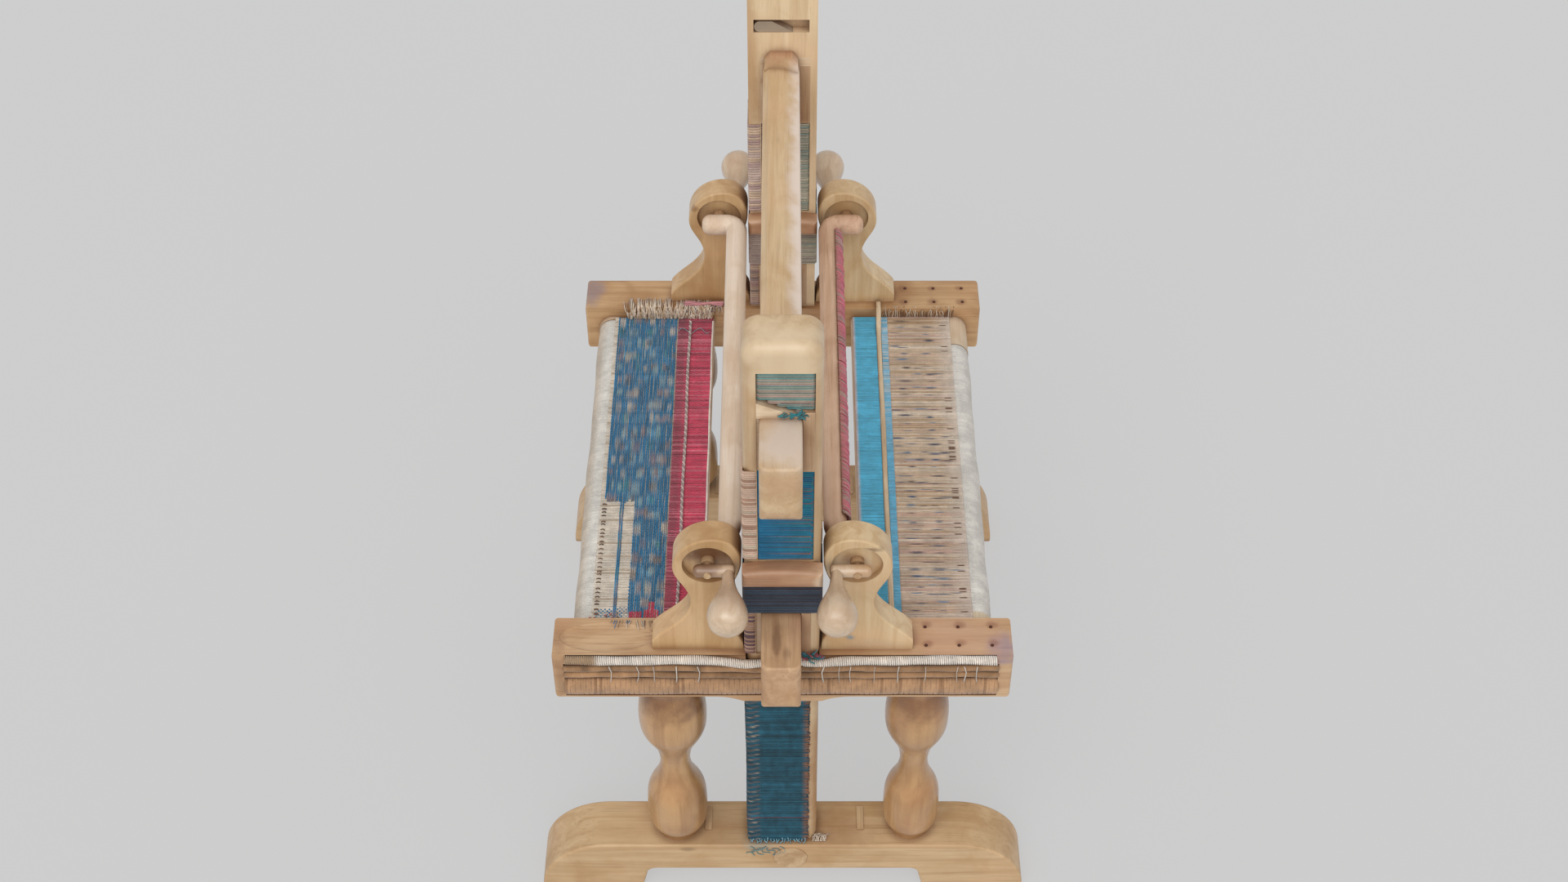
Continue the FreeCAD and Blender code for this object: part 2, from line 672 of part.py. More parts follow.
def crank_pin():
    """The pivot, thick in the bracket and the bar's arm, with a thin tip in the outer arm."""
    body_end = BRACKET_INNER_Y + ARM_GAP + BAR_R + PIN_PAST_AXIS
    tip_y = BRACKET_OUTER_Y - ARM_GAP - 2 * OUTER_ARM_R - 1
    body = rod((-PIVOT_X, BRACKET_OUTER_Y, PIVOT_Z), (-PIVOT_X, body_end, PIVOT_Z), PIN_R)
    tip = rod((-PIVOT_X, tip_y, PIVOT_Z), (-PIVOT_X, BRACKET_OUTER_Y, PIVOT_Z), PIN_TIP_R)
    return body.fuse(tip)


def crank_arm(y):
    """A short arm with rounded ends, from just past the pivot to the handle's line."""
    near_x = -PIVOT_X + CRANK_THROW + OUTER_ARM_R
    far_x = -PIVOT_X - ARM_OVERHANG - OUTER_ARM_R
    arm = rod((far_x, y, PIVOT_Z), (near_x, y, PIVOT_Z), OUTER_ARM_R)
    return soften(
        arm, OUTER_ARM_END_R,
        lambda edge, middle: min(abs(middle.x - far_x), abs(middle.x - near_x)) < 0.01,
    )


def tension_bar():
    """The long bar, bent at each end into a short arm behind its bracket."""
    y = BRACKET_INNER_Y + ARM_GAP + BAR_R
    bar_x = -PIVOT_X + CRANK_THROW
    far_x = -PIVOT_X - ARM_OVERHANG - BAR_R
    elbow_x, elbow_y = bar_x - BEND_R, y + BEND_R
    arm = rod((far_x, y, PIVOT_Z), (elbow_x, y, PIVOT_Z), BAR_R)
    arm = soften(arm, ARM_END_R, lambda edge, middle: abs(middle.x - far_x) < 0.01)
    hole = rod(
        (-PIVOT_X, y - 2 * BAR_R, PIVOT_Z), (-PIVOT_X, y + PIN_PAST_AXIS, PIVOT_Z), PIN_R
    )
    arm = arm.cut(hole)
    circle = Part.Circle(Vector(elbow_x, y, PIVOT_Z), Vector(1, 0, 0), BAR_R)
    section = Part.Face(Part.Wire(circle.toShape()))
    bend = section.revolve(Vector(elbow_x, elbow_y, PIVOT_Z), Vector(0, 0, 1), 90)
    bar = rod((bar_x, elbow_y, PIVOT_Z), (bar_x, -elbow_y, PIVOT_Z), BAR_R)
    return bar.fuse([bend, arm, to_rear(bend), to_rear(arm)]).removeSplitter()


def crank_handle():
    """The outer arm, which turns into a pear-shaped grip pointing away from the frame."""
    bar_x = -PIVOT_X + CRANK_THROW
    arm_y = BRACKET_OUTER_Y - ARM_GAP - OUTER_ARM_R
    neck = [(OUTER_ARM_R - 0.8, 7.5), (6.4, 17), (7.6, 27)]
    grip = [(11.2, 39), (16.4, 51), (20.6, 64), (21, 74), (16.5, 84)]
    curve = Part.BSplineCurve()
    points = [
        Vector(bar_x + radius, BRACKET_OUTER_Y - reach, PIVOT_Z) for radius, reach in neck + grip
    ]
    tip = Vector(bar_x, BRACKET_OUTER_Y - HANDLE_LENGTH, PIVOT_Z)
    near_tip = Vector(bar_x + 9.5, tip.y + 2.4, PIVOT_Z)
    curve.interpolate(points + [near_tip])
    cap = Part.Arc(near_tip, tip, Vector(2 * bar_x - near_tip.x, near_tip.y, PIVOT_Z))
    cap_half = Part.Edge(cap, cap.FirstParameter, (cap.FirstParameter + cap.LastParameter) / 2)
    axis_start = Vector(bar_x, points[0].y, PIVOT_Z)
    profile = Part.Face(Part.Wire([
        line(axis_start, points[0]),
        curve.toShape(),
        cap_half,
        line(tip, axis_start),
    ]))
    pear = spun(profile, (bar_x, 0, PIVOT_Z), (0, 1, 0))
    return crank_arm(arm_y).fuse(pear).removeSplitter().cut(crank_pin())


def bar_yarn():
    """Yarn bound along the outer side of the right bar: a crescent against it."""
    half_length, shift, radius = 236.0, 3.5, 14.5
    bar_x = PIVOT_X - CRANK_THROW
    yarn_x = bar_x + shift
    wound = rod((yarn_x, -half_length, PIVOT_Z), (yarn_x, half_length, PIVOT_Z), radius)
    bar = rod((bar_x, -half_length, PIVOT_Z), (bar_x, half_length, PIVOT_Z), BAR_R)
    return wound.cut(bar)


# Side rollers and the stretched work, each made at its own side


def roller(x, y0, y1):
    """A roller turned down between y0 and y1, where its yarn is wound."""
    body_end = -RAIL_INNER_Y - 0.5
    journal_end = -RAIL_INNER_Y + JOURNAL_LENGTH - 0.5
    body = rod((x, -body_end, ROLLER_Z), (x, body_end, ROLLER_Z), ROLLER_R)
    journal = rod((x, -journal_end, ROLLER_Z), (x, journal_end, ROLLER_Z), JOURNAL_R - SLIDE_GAP)
    return body.cut(roller_yarn(x, y0, y1)).fuse(journal).removeSplitter()


def roller_yarn(x, y0, y1):
    outer = rod((x, y0, ROLLER_Z), (x, y1, ROLLER_Z), ROLLER_R)
    return outer.cut(rod((x, y0, ROLLER_Z), (x, y1, ROLLER_Z), ROLLER_CORE_R))


def inner_bar(x):
    end = -RAIL_INNER_Y + 10
    return rod((x, -end, INNER_BAR_Z), (x, end, INNER_BAR_Z), INNER_BAR_R)


def cloth(x0, x1):
    """A flat stretch of work, relieved where it meets the roller."""
    side = 1 if x0 + x1 > 0 else -1
    slab = box(x0, x1, -CLOTH_HALF, CLOTH_HALF, CLOTH_TOP - CLOTH_THICK, CLOTH_TOP)
    over_roller = rod(
        (side * ROLLER_X, -300, ROLLER_Z), (side * ROLLER_X, 300, ROLLER_Z),
        ROLLER_R + SLIDE_GAP,
    )
    return slab.cut(over_roller)


def braid():
    front, rear = -238.0, 246.0
    return box(-BRAID_X1, -BRAID_X0, front, rear, CLOTH_TOP, CLOTH_TOP + BRAID_THICK)


def lease_stick():
    low, high = CLOTH_TOP - STICK_DROP, CLOTH_TOP + STICK_RISE
    return box(STICK_X0, STICK_X1, -CLOTH_HALF, CLOTH_HALF, low, high)


def all_parts():
    parts = {}

    def trestle_pair(name, solid):
        parts["front_" + name] = solid
        parts["rear_" + name] = to_rear(solid)

    def joined(solids):
        return Part.makeCompound(solids)

    def both_ends(solids):
        return joined(list(solids) + [to_rear(solid) for solid in solids])

    trestle_pair("foot", foot())
    parts["foot_plugs"] = both_ends([foot_plug()])
    parts["foot_keys"] = both_ends(foot_keys())
    for side, x in BALUSTER_X.items():
        trestle_pair(side + "_baluster", baluster(x, BALUSTER_GIRTH[side]))

    parts["front_rail"] = rail(True).cut(scoop())
    parts["rear_rail"] = to_rear(rail(False))
    parts["rail_nails"] = both_ends(rail_nails())
    trestle_pair("rail_canes", joined(canes()))
    parts["front_rail_lacing"] = lacing()

    parts["front_post"] = front_post()
    parts["rear_post"] = rear_post()
    parts["rear_slot_peg"] = rear_slot_peg()
    parts["front_post_windings"] = joined([top_winding(), window_winding(), band_winding()])
    parts["rear_post_windings"] = to_rear(joined([window_winding(), band_winding()]))
    trestle_pair("post_sleeve", lower_sleeve())
    trestle_pair("collars", joined(collars()))

    parts["upper_beam"] = upper_beam()
    parts["lower_beam"] = lower_beam()
    trestle_pair("upper_key", side_key(WINDOW_RIGHT, UPPER_BOTTOM, KEY_TOP))
    trestle_pair("lower_key", side_key(LOW_MORTISE_RIGHT, LOWER_TENON_BOTTOM, LOWER_TOP))
    parts["front_upper_wedge"] = joined([wedge(), packing()])
    parts["rear_upper_wedge"] = to_rear(joined([wedge(), packing(), counter_wedge()]))
    trestle_pair("lower_shim", lower_shim())

    left_bracket = bracket()
    trestle_pair("left_bracket", left_bracket)
    trestle_pair("right_bracket", to_right(left_bracket))
    parts["bracket_dowels"] = both_ends(dowels())
    bar, handle, pins = tension_bar(), crank_handle(), both_ends([crank_pin()])
    parts["left_tension_bar"] = bar
    parts["right_tension_bar"] = to_right(bar)
    trestle_pair("left_handle", handle)
    trestle_pair("right_handle", to_right(handle))
    parts["left_crank_pins"] = pins
    parts["right_crank_pins"] = to_right(pins)
    parts["right_bar_yarn"] = bar_yarn()

    for side, sign in (("left", -1), ("right", 1)):
        x, y0, y1 = sign * ROLLER_X, YARN_FRONT_END[side], YARN_REAR_END[side]
        parts[side + "_roller"] = roller(x, y0, y1)
        parts[side + "_roller_yarn"] = roller_yarn(x, y0, y1)
        parts[side + "_inner_bar"] = inner_bar(sign * INNER_BAR_X)
    parts["left_tapestry"] = cloth(-ROLLER_X, -RED_BAND_OUTER_X)
    parts["left_red_band"] = cloth(-RED_BAND_OUTER_X, -WORK_INNER_X)
    parts["left_braid"] = braid()
    parts["right_blue_bands"] = joined([
        cloth(WORK_INNER_X, STICK_X0), cloth(STICK_X1, BLUE_BAND_OUTER_X)
    ])
    parts["lease_stick"] = lease_stick()
    parts["right_warp"] = cloth(BLUE_BAND_OUTER_X, ROLLER_X)
    return parts


def main():
    os.makedirs("parts", exist_ok=True)
    for name, shape in all_parts().items():
        if not shape.isValid():
            print("not valid:", name)
        shape.exportStep("parts/" + name + ".step")


main()
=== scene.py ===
"""Looks of the tapestry frame loom: wood and iron on the CAD nodes, and modelled yarn."""
import math

import bpy
import numpy as np
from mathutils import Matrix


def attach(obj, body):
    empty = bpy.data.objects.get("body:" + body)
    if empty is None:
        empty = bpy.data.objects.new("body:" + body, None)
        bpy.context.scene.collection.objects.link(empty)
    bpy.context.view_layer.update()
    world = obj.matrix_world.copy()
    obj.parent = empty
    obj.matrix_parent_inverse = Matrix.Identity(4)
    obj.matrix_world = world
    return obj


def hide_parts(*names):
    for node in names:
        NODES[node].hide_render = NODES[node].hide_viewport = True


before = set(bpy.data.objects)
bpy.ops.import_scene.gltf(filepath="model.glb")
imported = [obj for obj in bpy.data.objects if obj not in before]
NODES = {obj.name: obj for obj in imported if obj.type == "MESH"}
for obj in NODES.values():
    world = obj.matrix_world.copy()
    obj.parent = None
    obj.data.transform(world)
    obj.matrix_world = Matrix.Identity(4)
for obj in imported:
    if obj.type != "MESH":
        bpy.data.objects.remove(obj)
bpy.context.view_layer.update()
MM = 0.001
rng = np.random.default_rng(7)


def rgb(text):
    """Linear colour of six hexadecimal sRGB digits."""
    values = [int(text[i:i + 2], 16) / 255 for i in (0, 2, 4)]
    return np.array([v / 12.92 if v <= 0.04045 else ((v + 0.055) / 1.055) ** 2.4 for v in values])


def rgbs(text):
    return [rgb(code) for code in text.split()]


# Places on the loom, in millimetres

CLOTH_Z, CLOTH_THICK, HALF = 418.6, 0.5, 255.0
ROLLER_X, ROLLER_Z = 214.0, 400.0
BAR_X, BAR_Z = 56.0, 568.0
POST_IN, POST_OUT = 261.0, 309.0
WINDOW_LEFT, WINDOW_RIGHT = -25.2, 31.6
SLEEVE_LOW, SLEEVE_HIGH = 88.0, 358.0

# Node materials


class Graph:
    """A node material, built one node at a time. Places are in millimetres."""

    def __init__(self, name):
        self.material = bpy.data.materials.new(name)
        self.material.use_nodes = True
        tree = self.material.node_tree
        self.nodes, self.links = tree.nodes, tree.links
        self.nodes.clear()
        here = self.add("ShaderNodeTexCoord").outputs["Object"]
        self.place = self.vector("SCALE", here, scale=1000.0)

    def add(self, kind, **settings):
        node = self.nodes.new(kind)
        for key, value in settings.items():
            setattr(node, key, value)
        return node

    def feed(self, socket, value):
        if isinstance(value, bpy.types.NodeSocket):
            self.links.new(value, socket)
        elif hasattr(value, "__len__") and len(value) == 3 and len(socket.default_value) == 4:
            socket.default_value = (*value, 1.0)
        else:
            socket.default_value = value

    def vector(self, operation, a, b=None, scale=None):
        node = self.add("ShaderNodeVectorMath", operation=operation)
        self.feed(node.inputs[0], a)
        if b is not None:
            self.feed(node.inputs[1], b)
        if scale is not None:
            node.inputs["Scale"].default_value = scale
        return node.outputs["Value" if operation == "LENGTH" else "Vector"]

    def stretched(self, periods, seed):
        """Places measured in periods, millimetres along each axis."""
        node = self.add("ShaderNodeMapping")
        self.feed(node.inputs["Vector"], self.place)
        node.inputs["Location"].default_value = (seed, 1.7 * seed, -2.3 * seed)
        node.inputs["Scale"].default_value = [1 / p for p in periods]
        return node.outputs["Vector"]

    def noise(self, periods, detail, rough=0.5, warp=0.0, seed=0.0):
        node = self.add("ShaderNodeTexNoise")
        self.feed(node.inputs["Vector"], self.stretched(periods, seed))
        node.inputs["Scale"].default_value = 1.0
        node.inputs["Detail"].default_value = detail
        node.inputs["Roughness"].default_value = rough
        node.inputs["Distortion"].default_value = warp
        return node.outputs["Fac"]

    def maths(self, operation, a, b):
        node = self.add("ShaderNodeMath", operation=operation)
        self.feed(node.inputs[0], a)
        self.feed(node.inputs[1], b)
        return node.outputs[0]

    def band(self, value, low, high, to_low=0.0, to_high=1.0):
        node = self.add("ShaderNodeMapRange", interpolation_type="SMOOTHSTEP")
        self.feed(node.inputs["Value"], value)
        for key, number in zip(("From Min", "From Max", "To Min", "To Max"), (low, high, to_low, to_high)):
            node.inputs[key].default_value = number
        return node.outputs["Result"]

    def mix(self, factor, a, b, blend="MIX"):
        node = self.add("ShaderNodeMix", data_type="RGBA", blend_type=blend)
        self.feed(node.inputs[0], factor)
        self.feed(node.inputs[6], a)
        self.feed(node.inputs[7], b)
        return node.outputs[2]

    def grey(self, value):
        node = self.add("ShaderNodeCombineColor")
        for socket in node.inputs:
            self.feed(socket, value)
        return node.outputs[0]

    def finish(self, colour, rough, height, depth, sheen=0.0, coat=0.0):
        shader = self.add("ShaderNodeBsdfPrincipled")
        self.feed(shader.inputs["Base Color"], colour)
        self.feed(shader.inputs["Roughness"], rough)
        shader.inputs["Specular IOR Level"].default_value = 0.35
        shader.inputs["Sheen Weight"].default_value = sheen
        shader.inputs["Coat Weight"].default_value = coat
        shader.inputs["Coat Roughness"].default_value = 0.35
        bump = self.add("ShaderNodeBump")
        bump.inputs["Strength"].default_value = 1.0
        bump.inputs["Distance"].default_value = depth * MM
        self.feed(bump.inputs["Height"], height)
        self.links.new(bump.outputs["Normal"], shader.inputs["Normal"])
        return self.shown(shader)

    def shown(self, shader):
        out = self.add("ShaderNodeOutputMaterial")
        self.links.new(shader.outputs[0], out.inputs["Surface"])
        return self.material


def spot(g, centre, radii, seed):
    """1 inside a ragged ellipsoid, 0 outside."""
    away = g.vector("SUBTRACT", g.place, centre)
    away = g.vector("DIVIDE", away, radii)
    ragged = g.band(g.noise((24, 24, 24), 3, 0.55, seed=seed + centre[0]), 0.3, 0.7, -0.2, 0.2)
    return g.band(g.maths("ADD", g.vector("LENGTH", away), ragged), 1.3, 0.35)


def wood(name, pale, deep, axis, seed, streak=0.35, knots=0.5, marks=(), coat=0.12, shadow=0.62):
    """Sawn wood with its grain along one axis, ragged marks of stain, painted shade or painted highlight,
    and painted shade darkening its crevices.
    """
    g = Graph(name + "_wood")

    def along(across, length):
        periods = [across] * 3
        periods[axis] = length
        return periods

    bands = g.noise(along(16, 260), 4, 0.55, 0.8, seed)
    lines = g.noise(along(2.6, 90), 3, 0.6, 0.3, seed + 3)
    pores = g.noise(along(0.7, 14), 2, 0.6, 0.0, seed + 5)
    blotch = g.noise((70, 70, 70), 3, 0.55, 0.4, seed + 8)
    pale, deep = rgb(pale), rgb(deep)
    colour = g.mix(g.band(bands, 0.34, 0.68), pale, 0.45 * pale + 0.55 * deep)
    colour = g.mix(g.band(blotch, 0.42, 0.75, 0.0, 0.7), colour, deep)
    colour = g.mix(g.band(lines, 0.52, 0.72, 0.0, streak), colour, 0.72 * deep)
    colour = g.mix(g.band(pores, 0.58, 0.74, 0.0, 0.22), colour, 0.5 * deep)
    rosy = g.band(g.noise((110, 110, 60), 2, seed=seed + 11), 0.5, 0.72, 0.0, 0.22)
    colour = g.mix(rosy, colour, pale * (1.12, 0.93, 0.92))
    cells = g.add("ShaderNodeTexVoronoi")
    g.feed(cells.inputs["Vector"], g.stretched(along(46, 95), seed))
    cells.inputs["Scale"].default_value = 1.0
    chosen = g.add("ShaderNodeSeparateColor")
    g.feed(chosen.inputs[0], cells.outputs["Color"])
    rare = g.band(chosen.outputs[0], 0.62, 0.68)
    ring = g.maths("MULTIPLY", g.band(cells.outputs["Distance"], 0.15, 0.05), rare)
    colour = g.mix(g.maths("MULTIPLY", ring, knots), colour, 0.42 * deep)
    for centre, radii, tone, strength in marks:
        amount = g.maths("MULTIPLY", spot(g, centre, radii, seed), strength)
        colour = g.mix(amount, colour, rgb(tone))
    # painted shade: where ambient occlusion finds a crevice or a meeting of parts, the colour is darkened
    # towards brown
    shade = g.add("ShaderNodeAmbientOcclusion", samples=6)
    shade.inputs["Distance"].default_value = 14 * MM
    painted_crevice_shade = g.band(shade.outputs["AO"], 0.35, 0.92, shadow, 0.0)
    colour = g.mix(painted_crevice_shade, colour, rgb("6b3f24"))
    height = g.maths("ADD", g.maths("MULTIPLY", lines, 0.6), g.maths("MULTIPLY", pores, 0.5))
    rough = g.band(blotch, 0.3, 0.7, 0.42 - 0.2 * coat, 0.6 - 0.3 * coat)
    return g.finish(colour, rough, height, 0.25, coat=coat)


def yarn(name, sheen=0.3):
    """Spun yarn in the colour of each strand, with loose fibres and worn places."""
    g, contrast = Graph(name), 0.2
    tint = g.add("ShaderNodeAttribute", attribute_name="Tint").outputs["Color"]
    fibres = g.noise((0.9, 0.9, 0.9), 3, 0.7, 0.6)
    worn = g.noise((17, 17, 17), 3, 0.6, seed=4)
    value = g.maths("ADD", g.band(fibres, 0.3, 0.7, 1 - contrast, 1 + 0.7 * contrast),
                    g.band(worn, 0.35, 0.7, -0.12, 0.12))
    colour = g.mix(1.0, tint, g.grey(value), "MULTIPLY")
    return g.finish(colour, 0.88, fibres, 0.35, sheen=sheen)


def iron(name):
    g = Graph(name)
    rust = g.noise((1.4, 1.4, 1.4), 3, 0.6)
    colour = g.mix(g.band(rust, 0.4, 0.65), rgb("3a2620"), rgb("6e3a2a"))
    return g.finish(colour, g.band(rust, 0.3, 0.7, 0.45, 0.8), rust, 0.2)


# Meshes of strands


class Strands:
    """Collects round strands and turns them into one closed mesh."""

    def __init__(self):
        self.points, self.faces, self.tints, self.count = [], [], [], 0

    def add(self, paths, radius, tint, sides=4, flat=1.0, up=(0, 0, 1)):
        paths = np.asarray(paths, float)
        if paths.ndim == 2:
            paths = paths[None]
        number, steps = paths.shape[:2]
        along = np.gradient(paths, axis=1)
        along /= np.linalg.norm(along, axis=2, keepdims=True)
        across = np.cross(along, np.broadcast_to(up, paths.shape))
        across /= np.linalg.norm(across, axis=2, keepdims=True) + 1e-9
        lift = np.cross(across, along)
        turn = (np.arange(sides) + 0.5) / sides * 2 * math.pi
        radius = np.broadcast_to(np.asarray(radius, float), (number, steps))[..., None, None]
        ring = (np.cos(turn)[:, None] * across[:, :, None]
                + flat * np.sin(turn)[:, None] * lift[:, :, None])
        points = paths[:, :, None] + radius * ring
        tint = np.asarray(tint, float)
        if tint.ndim == 2:
            tint = tint[:, None]
        tint = np.broadcast_to(tint, (number, steps, 3))[:, :, None]
        self.points.append(points.reshape(-1, 3))
        self.tints.append(np.broadcast_to(tint, points.shape).reshape(-1, 3))
        index = self.count + np.arange(number * steps * sides).reshape(number, steps, sides)
        here, there = index[:, :-1], index[:, 1:]
        walls = np.stack([here, np.roll(here, -1, 2), np.roll(there, -1, 2), there], -1)
        self.faces.append(walls.reshape(-1, 4))
        for k in range(1, sides - 1, 2):
            corners = [0, k, k + 1, k + 2]
            self.faces.append(index[:, 0][:, corners[::-1]])
            self.faces.append(index[:, -1][:, corners])
        self.count += index.size

    def build(self, name, material):
        points, tints = np.concatenate(self.points) * MM, np.concatenate(self.tints)
        return mesh_object(name, points, np.concatenate(self.faces), tints, material)


def xyz(x, y, z):
    """Points from their coordinates, which are numbers or arrays that broadcast together."""
    return np.stack(np.broadcast_arrays(x, y, z), -1)


def linked(name, data):
    """A new object, in the scene."""
    item = bpy.data.objects.new(name, data)
    bpy.context.scene.collection.objects.link(item)
    return item


def mesh_object(name, points, faces, tints, material):
    mesh = bpy.data.meshes.new(name)
    mesh.from_pydata(points.tolist(), [], faces.tolist())
    layer = mesh.color_attributes.new("Tint", "FLOAT_COLOR", "POINT")
    colours = np.concatenate([np.clip(tints, 0, 1), np.ones((len(tints), 1))], 1)
    layer.data.foreach_set("color", colours.astype(np.float32).ravel())
    mesh.shade_smooth()
    mesh.materials.append(material)
    return linked(name, mesh)


def shell_faces(nx, ny):
    """Faces of a closed thin sheet: its upper grid, its lower grid, and the wall round the rim."""
    grid = np.arange(nx * ny).reshape(nx, ny)
    a, b, c, d = grid[:-1, :-1], grid[1:, :-1], grid[1:, 1:], grid[:-1, 1:]
    over = np.stack([a, b, c, d], -1).reshape(-1, 4)
    rim = np.concatenate([grid[:, 0], grid[-1, 1:], grid[-2::-1, -1], grid[0, -2:0:-1]])
    after = np.roll(rim, -1)
    wall = np.stack([rim, rim + nx * ny, after + nx * ny, after], -1)
    return np.concatenate([over, over[:, ::-1] + nx * ny, wall])


def slab(name, x0, x1, top, tint):
    """A closed, thin piece of cloth, as long as the stretched work, that swells a little."""
    nx, ny = max(6, int((x1 - x0) / 6)), int(2 * HALF / 6)
    x, y = np.meshgrid(np.linspace(x0, x1, nx), np.linspace(-HALF, HALF, ny), indexing="ij")
    swell = 0.25 * np.sin(x / 9) * np.sin(y / 23)
    upper = xyz(x, y, top - 0.3 + swell).reshape(-1, 3)
    lower = upper - (0, 0, CLOTH_THICK)
    points = np.concatenate([upper, lower])
    tints = tint(points) if callable(tint) else np.broadcast_to(tint, points.shape)
    return mesh_object(name, points * MM, shell_faces(nx, ny), tints, SOFT)


def vary(base, shape, spread):
    """Copies of a colour, each a little lighter or darker."""
    return base * (1 + spread * rng.standard_normal((*shape, 1)))


def blend(tints, amount, other):
    return tints * (1 - amount) + amount * other


def ramp(value, start, width):
    """0 before start, rising to 1 over a width; a negative width rises the other way."""
    return np.clip((value - start) / width, 0, 1)


def smooth_random(shape, reach, axis=-1):
    """Seeded noise of about unit size, smoothed along one axis."""
    noise = rng.standard_normal(shape)
    kernel = np.exp(-0.5 * (np.arange(-3 * reach, 3 * reach + 1) / reach) ** 2)
    kernel /= np.sqrt((kernel ** 2).sum())
    skip = len(kernel) // 2
    return np.apply_along_axis(lambda row: np.convolve(row, kernel)[skip:skip + len(row)], axis, noise)


def lines_across(x0, x1, ys, z, steps, wobble):
    """Straight strands along X at each Y, with a little wander."""
    shape = (len(ys), steps)
    return xyz(np.linspace(x0, x1, steps), ys[:, None] + wobble * smooth_random(shape, 2),
               z + 0.3 * wobble * rng.standard_normal(shape))


def helix(centres, radius, pitch, per_turn):
    """A strand wound round the line through centres, which runs along X or Y."""
    runs = np.linalg.norm(np.diff(centres, axis=0), axis=1)
    reach = np.concatenate([[0], np.cumsum(runs)])
    count = int(reach[-1] / pitch * per_turn)
    s = np.linspace(0, reach[-1], count)
    line = np.stack([np.interp(s, reach, centres[:, k]) for k in range(3)], -1)
    swell = np.interp(s, reach, radius)
    angle = 2 * math.pi * s / pitch
    side = np.array((0, 1, 0)) if abs(centres[-1, 0] - centres[0, 0]) > 1 else np.array((1, 0, 0))
    offset = (swell * np.cos(angle))[:, None] * side
    return line + offset + (swell * np.sin(angle))[:, None] * np.array((0, 0, 1))


PER_CORNER = 5  # places along a strand at each corner of a post


def boxed_helix(x0, x1, y0, y1, z0, z1, pitch):
    """A strand wound round an upright post of rectangular section."""
    loop, corner = [], 3.0
    corners = [(x0, y0, 180), (x1, y0, 270), (x1, y1, 0), (x0, y1, 90)]
    for x, y, begin in corners:
        cx = x + (corner if x == x0 else -corner)
        cy = y + (corner if y == y0 else -corner)
        for a in np.radians(np.linspace(begin, begin + 90, PER_CORNER)):
            loop.append((cx + corner * math.cos(a), cy + corner * math.sin(a)))
    loop = np.array(loop)
    turns = int((z1 - z0) / pitch)
    path = np.tile(loop, (turns, 1))
    z = np.linspace(z0, z1, len(path))
    return np.column_stack([path, z])


def fringe(strands, roots, heading, length, droop, tints, radius, spread):
    """Loose ends: each leaves its root along heading, spreads, and falls."""
    roots = np.asarray(roots, float)
    number = len(roots)
    t = np.linspace(0, 1, 7)
    lengths = length * rng.uniform(0.55, 1.25, (number, 1))
    aim = np.asarray(heading, float) + spread * rng.standard_normal((number, 3)) * (1, 1, 0.4)
    aim /= np.linalg.norm(aim, axis=1, keepdims=True)
    bend = rng.standard_normal((number, 3)) * (0.25, 0.25, 0.1)
    paths = (roots[:, None] + lengths[..., None] * (t[:, None] * aim[:, None])
             + lengths[..., None] * (t ** 2)[:, None] * bend[:, None])
    paths[..., 2] -= droop * rng.uniform(0.6, 1.2, (number, 1)) * t ** 2
    chosen = np.asarray(tints)[rng.integers(0, len(tints), number)]
    chosen = chosen * rng.uniform(0.75, 1.2, (number, 1))
    thin = radius * (1 - 0.45 * t)
    strands.add(paths, thin, chosen, up=(0.13, 0.21, 0.97))


# Materials of the CAD nodes, by the ends of their names

along_x, along_y, along_z = 0, 1, 2

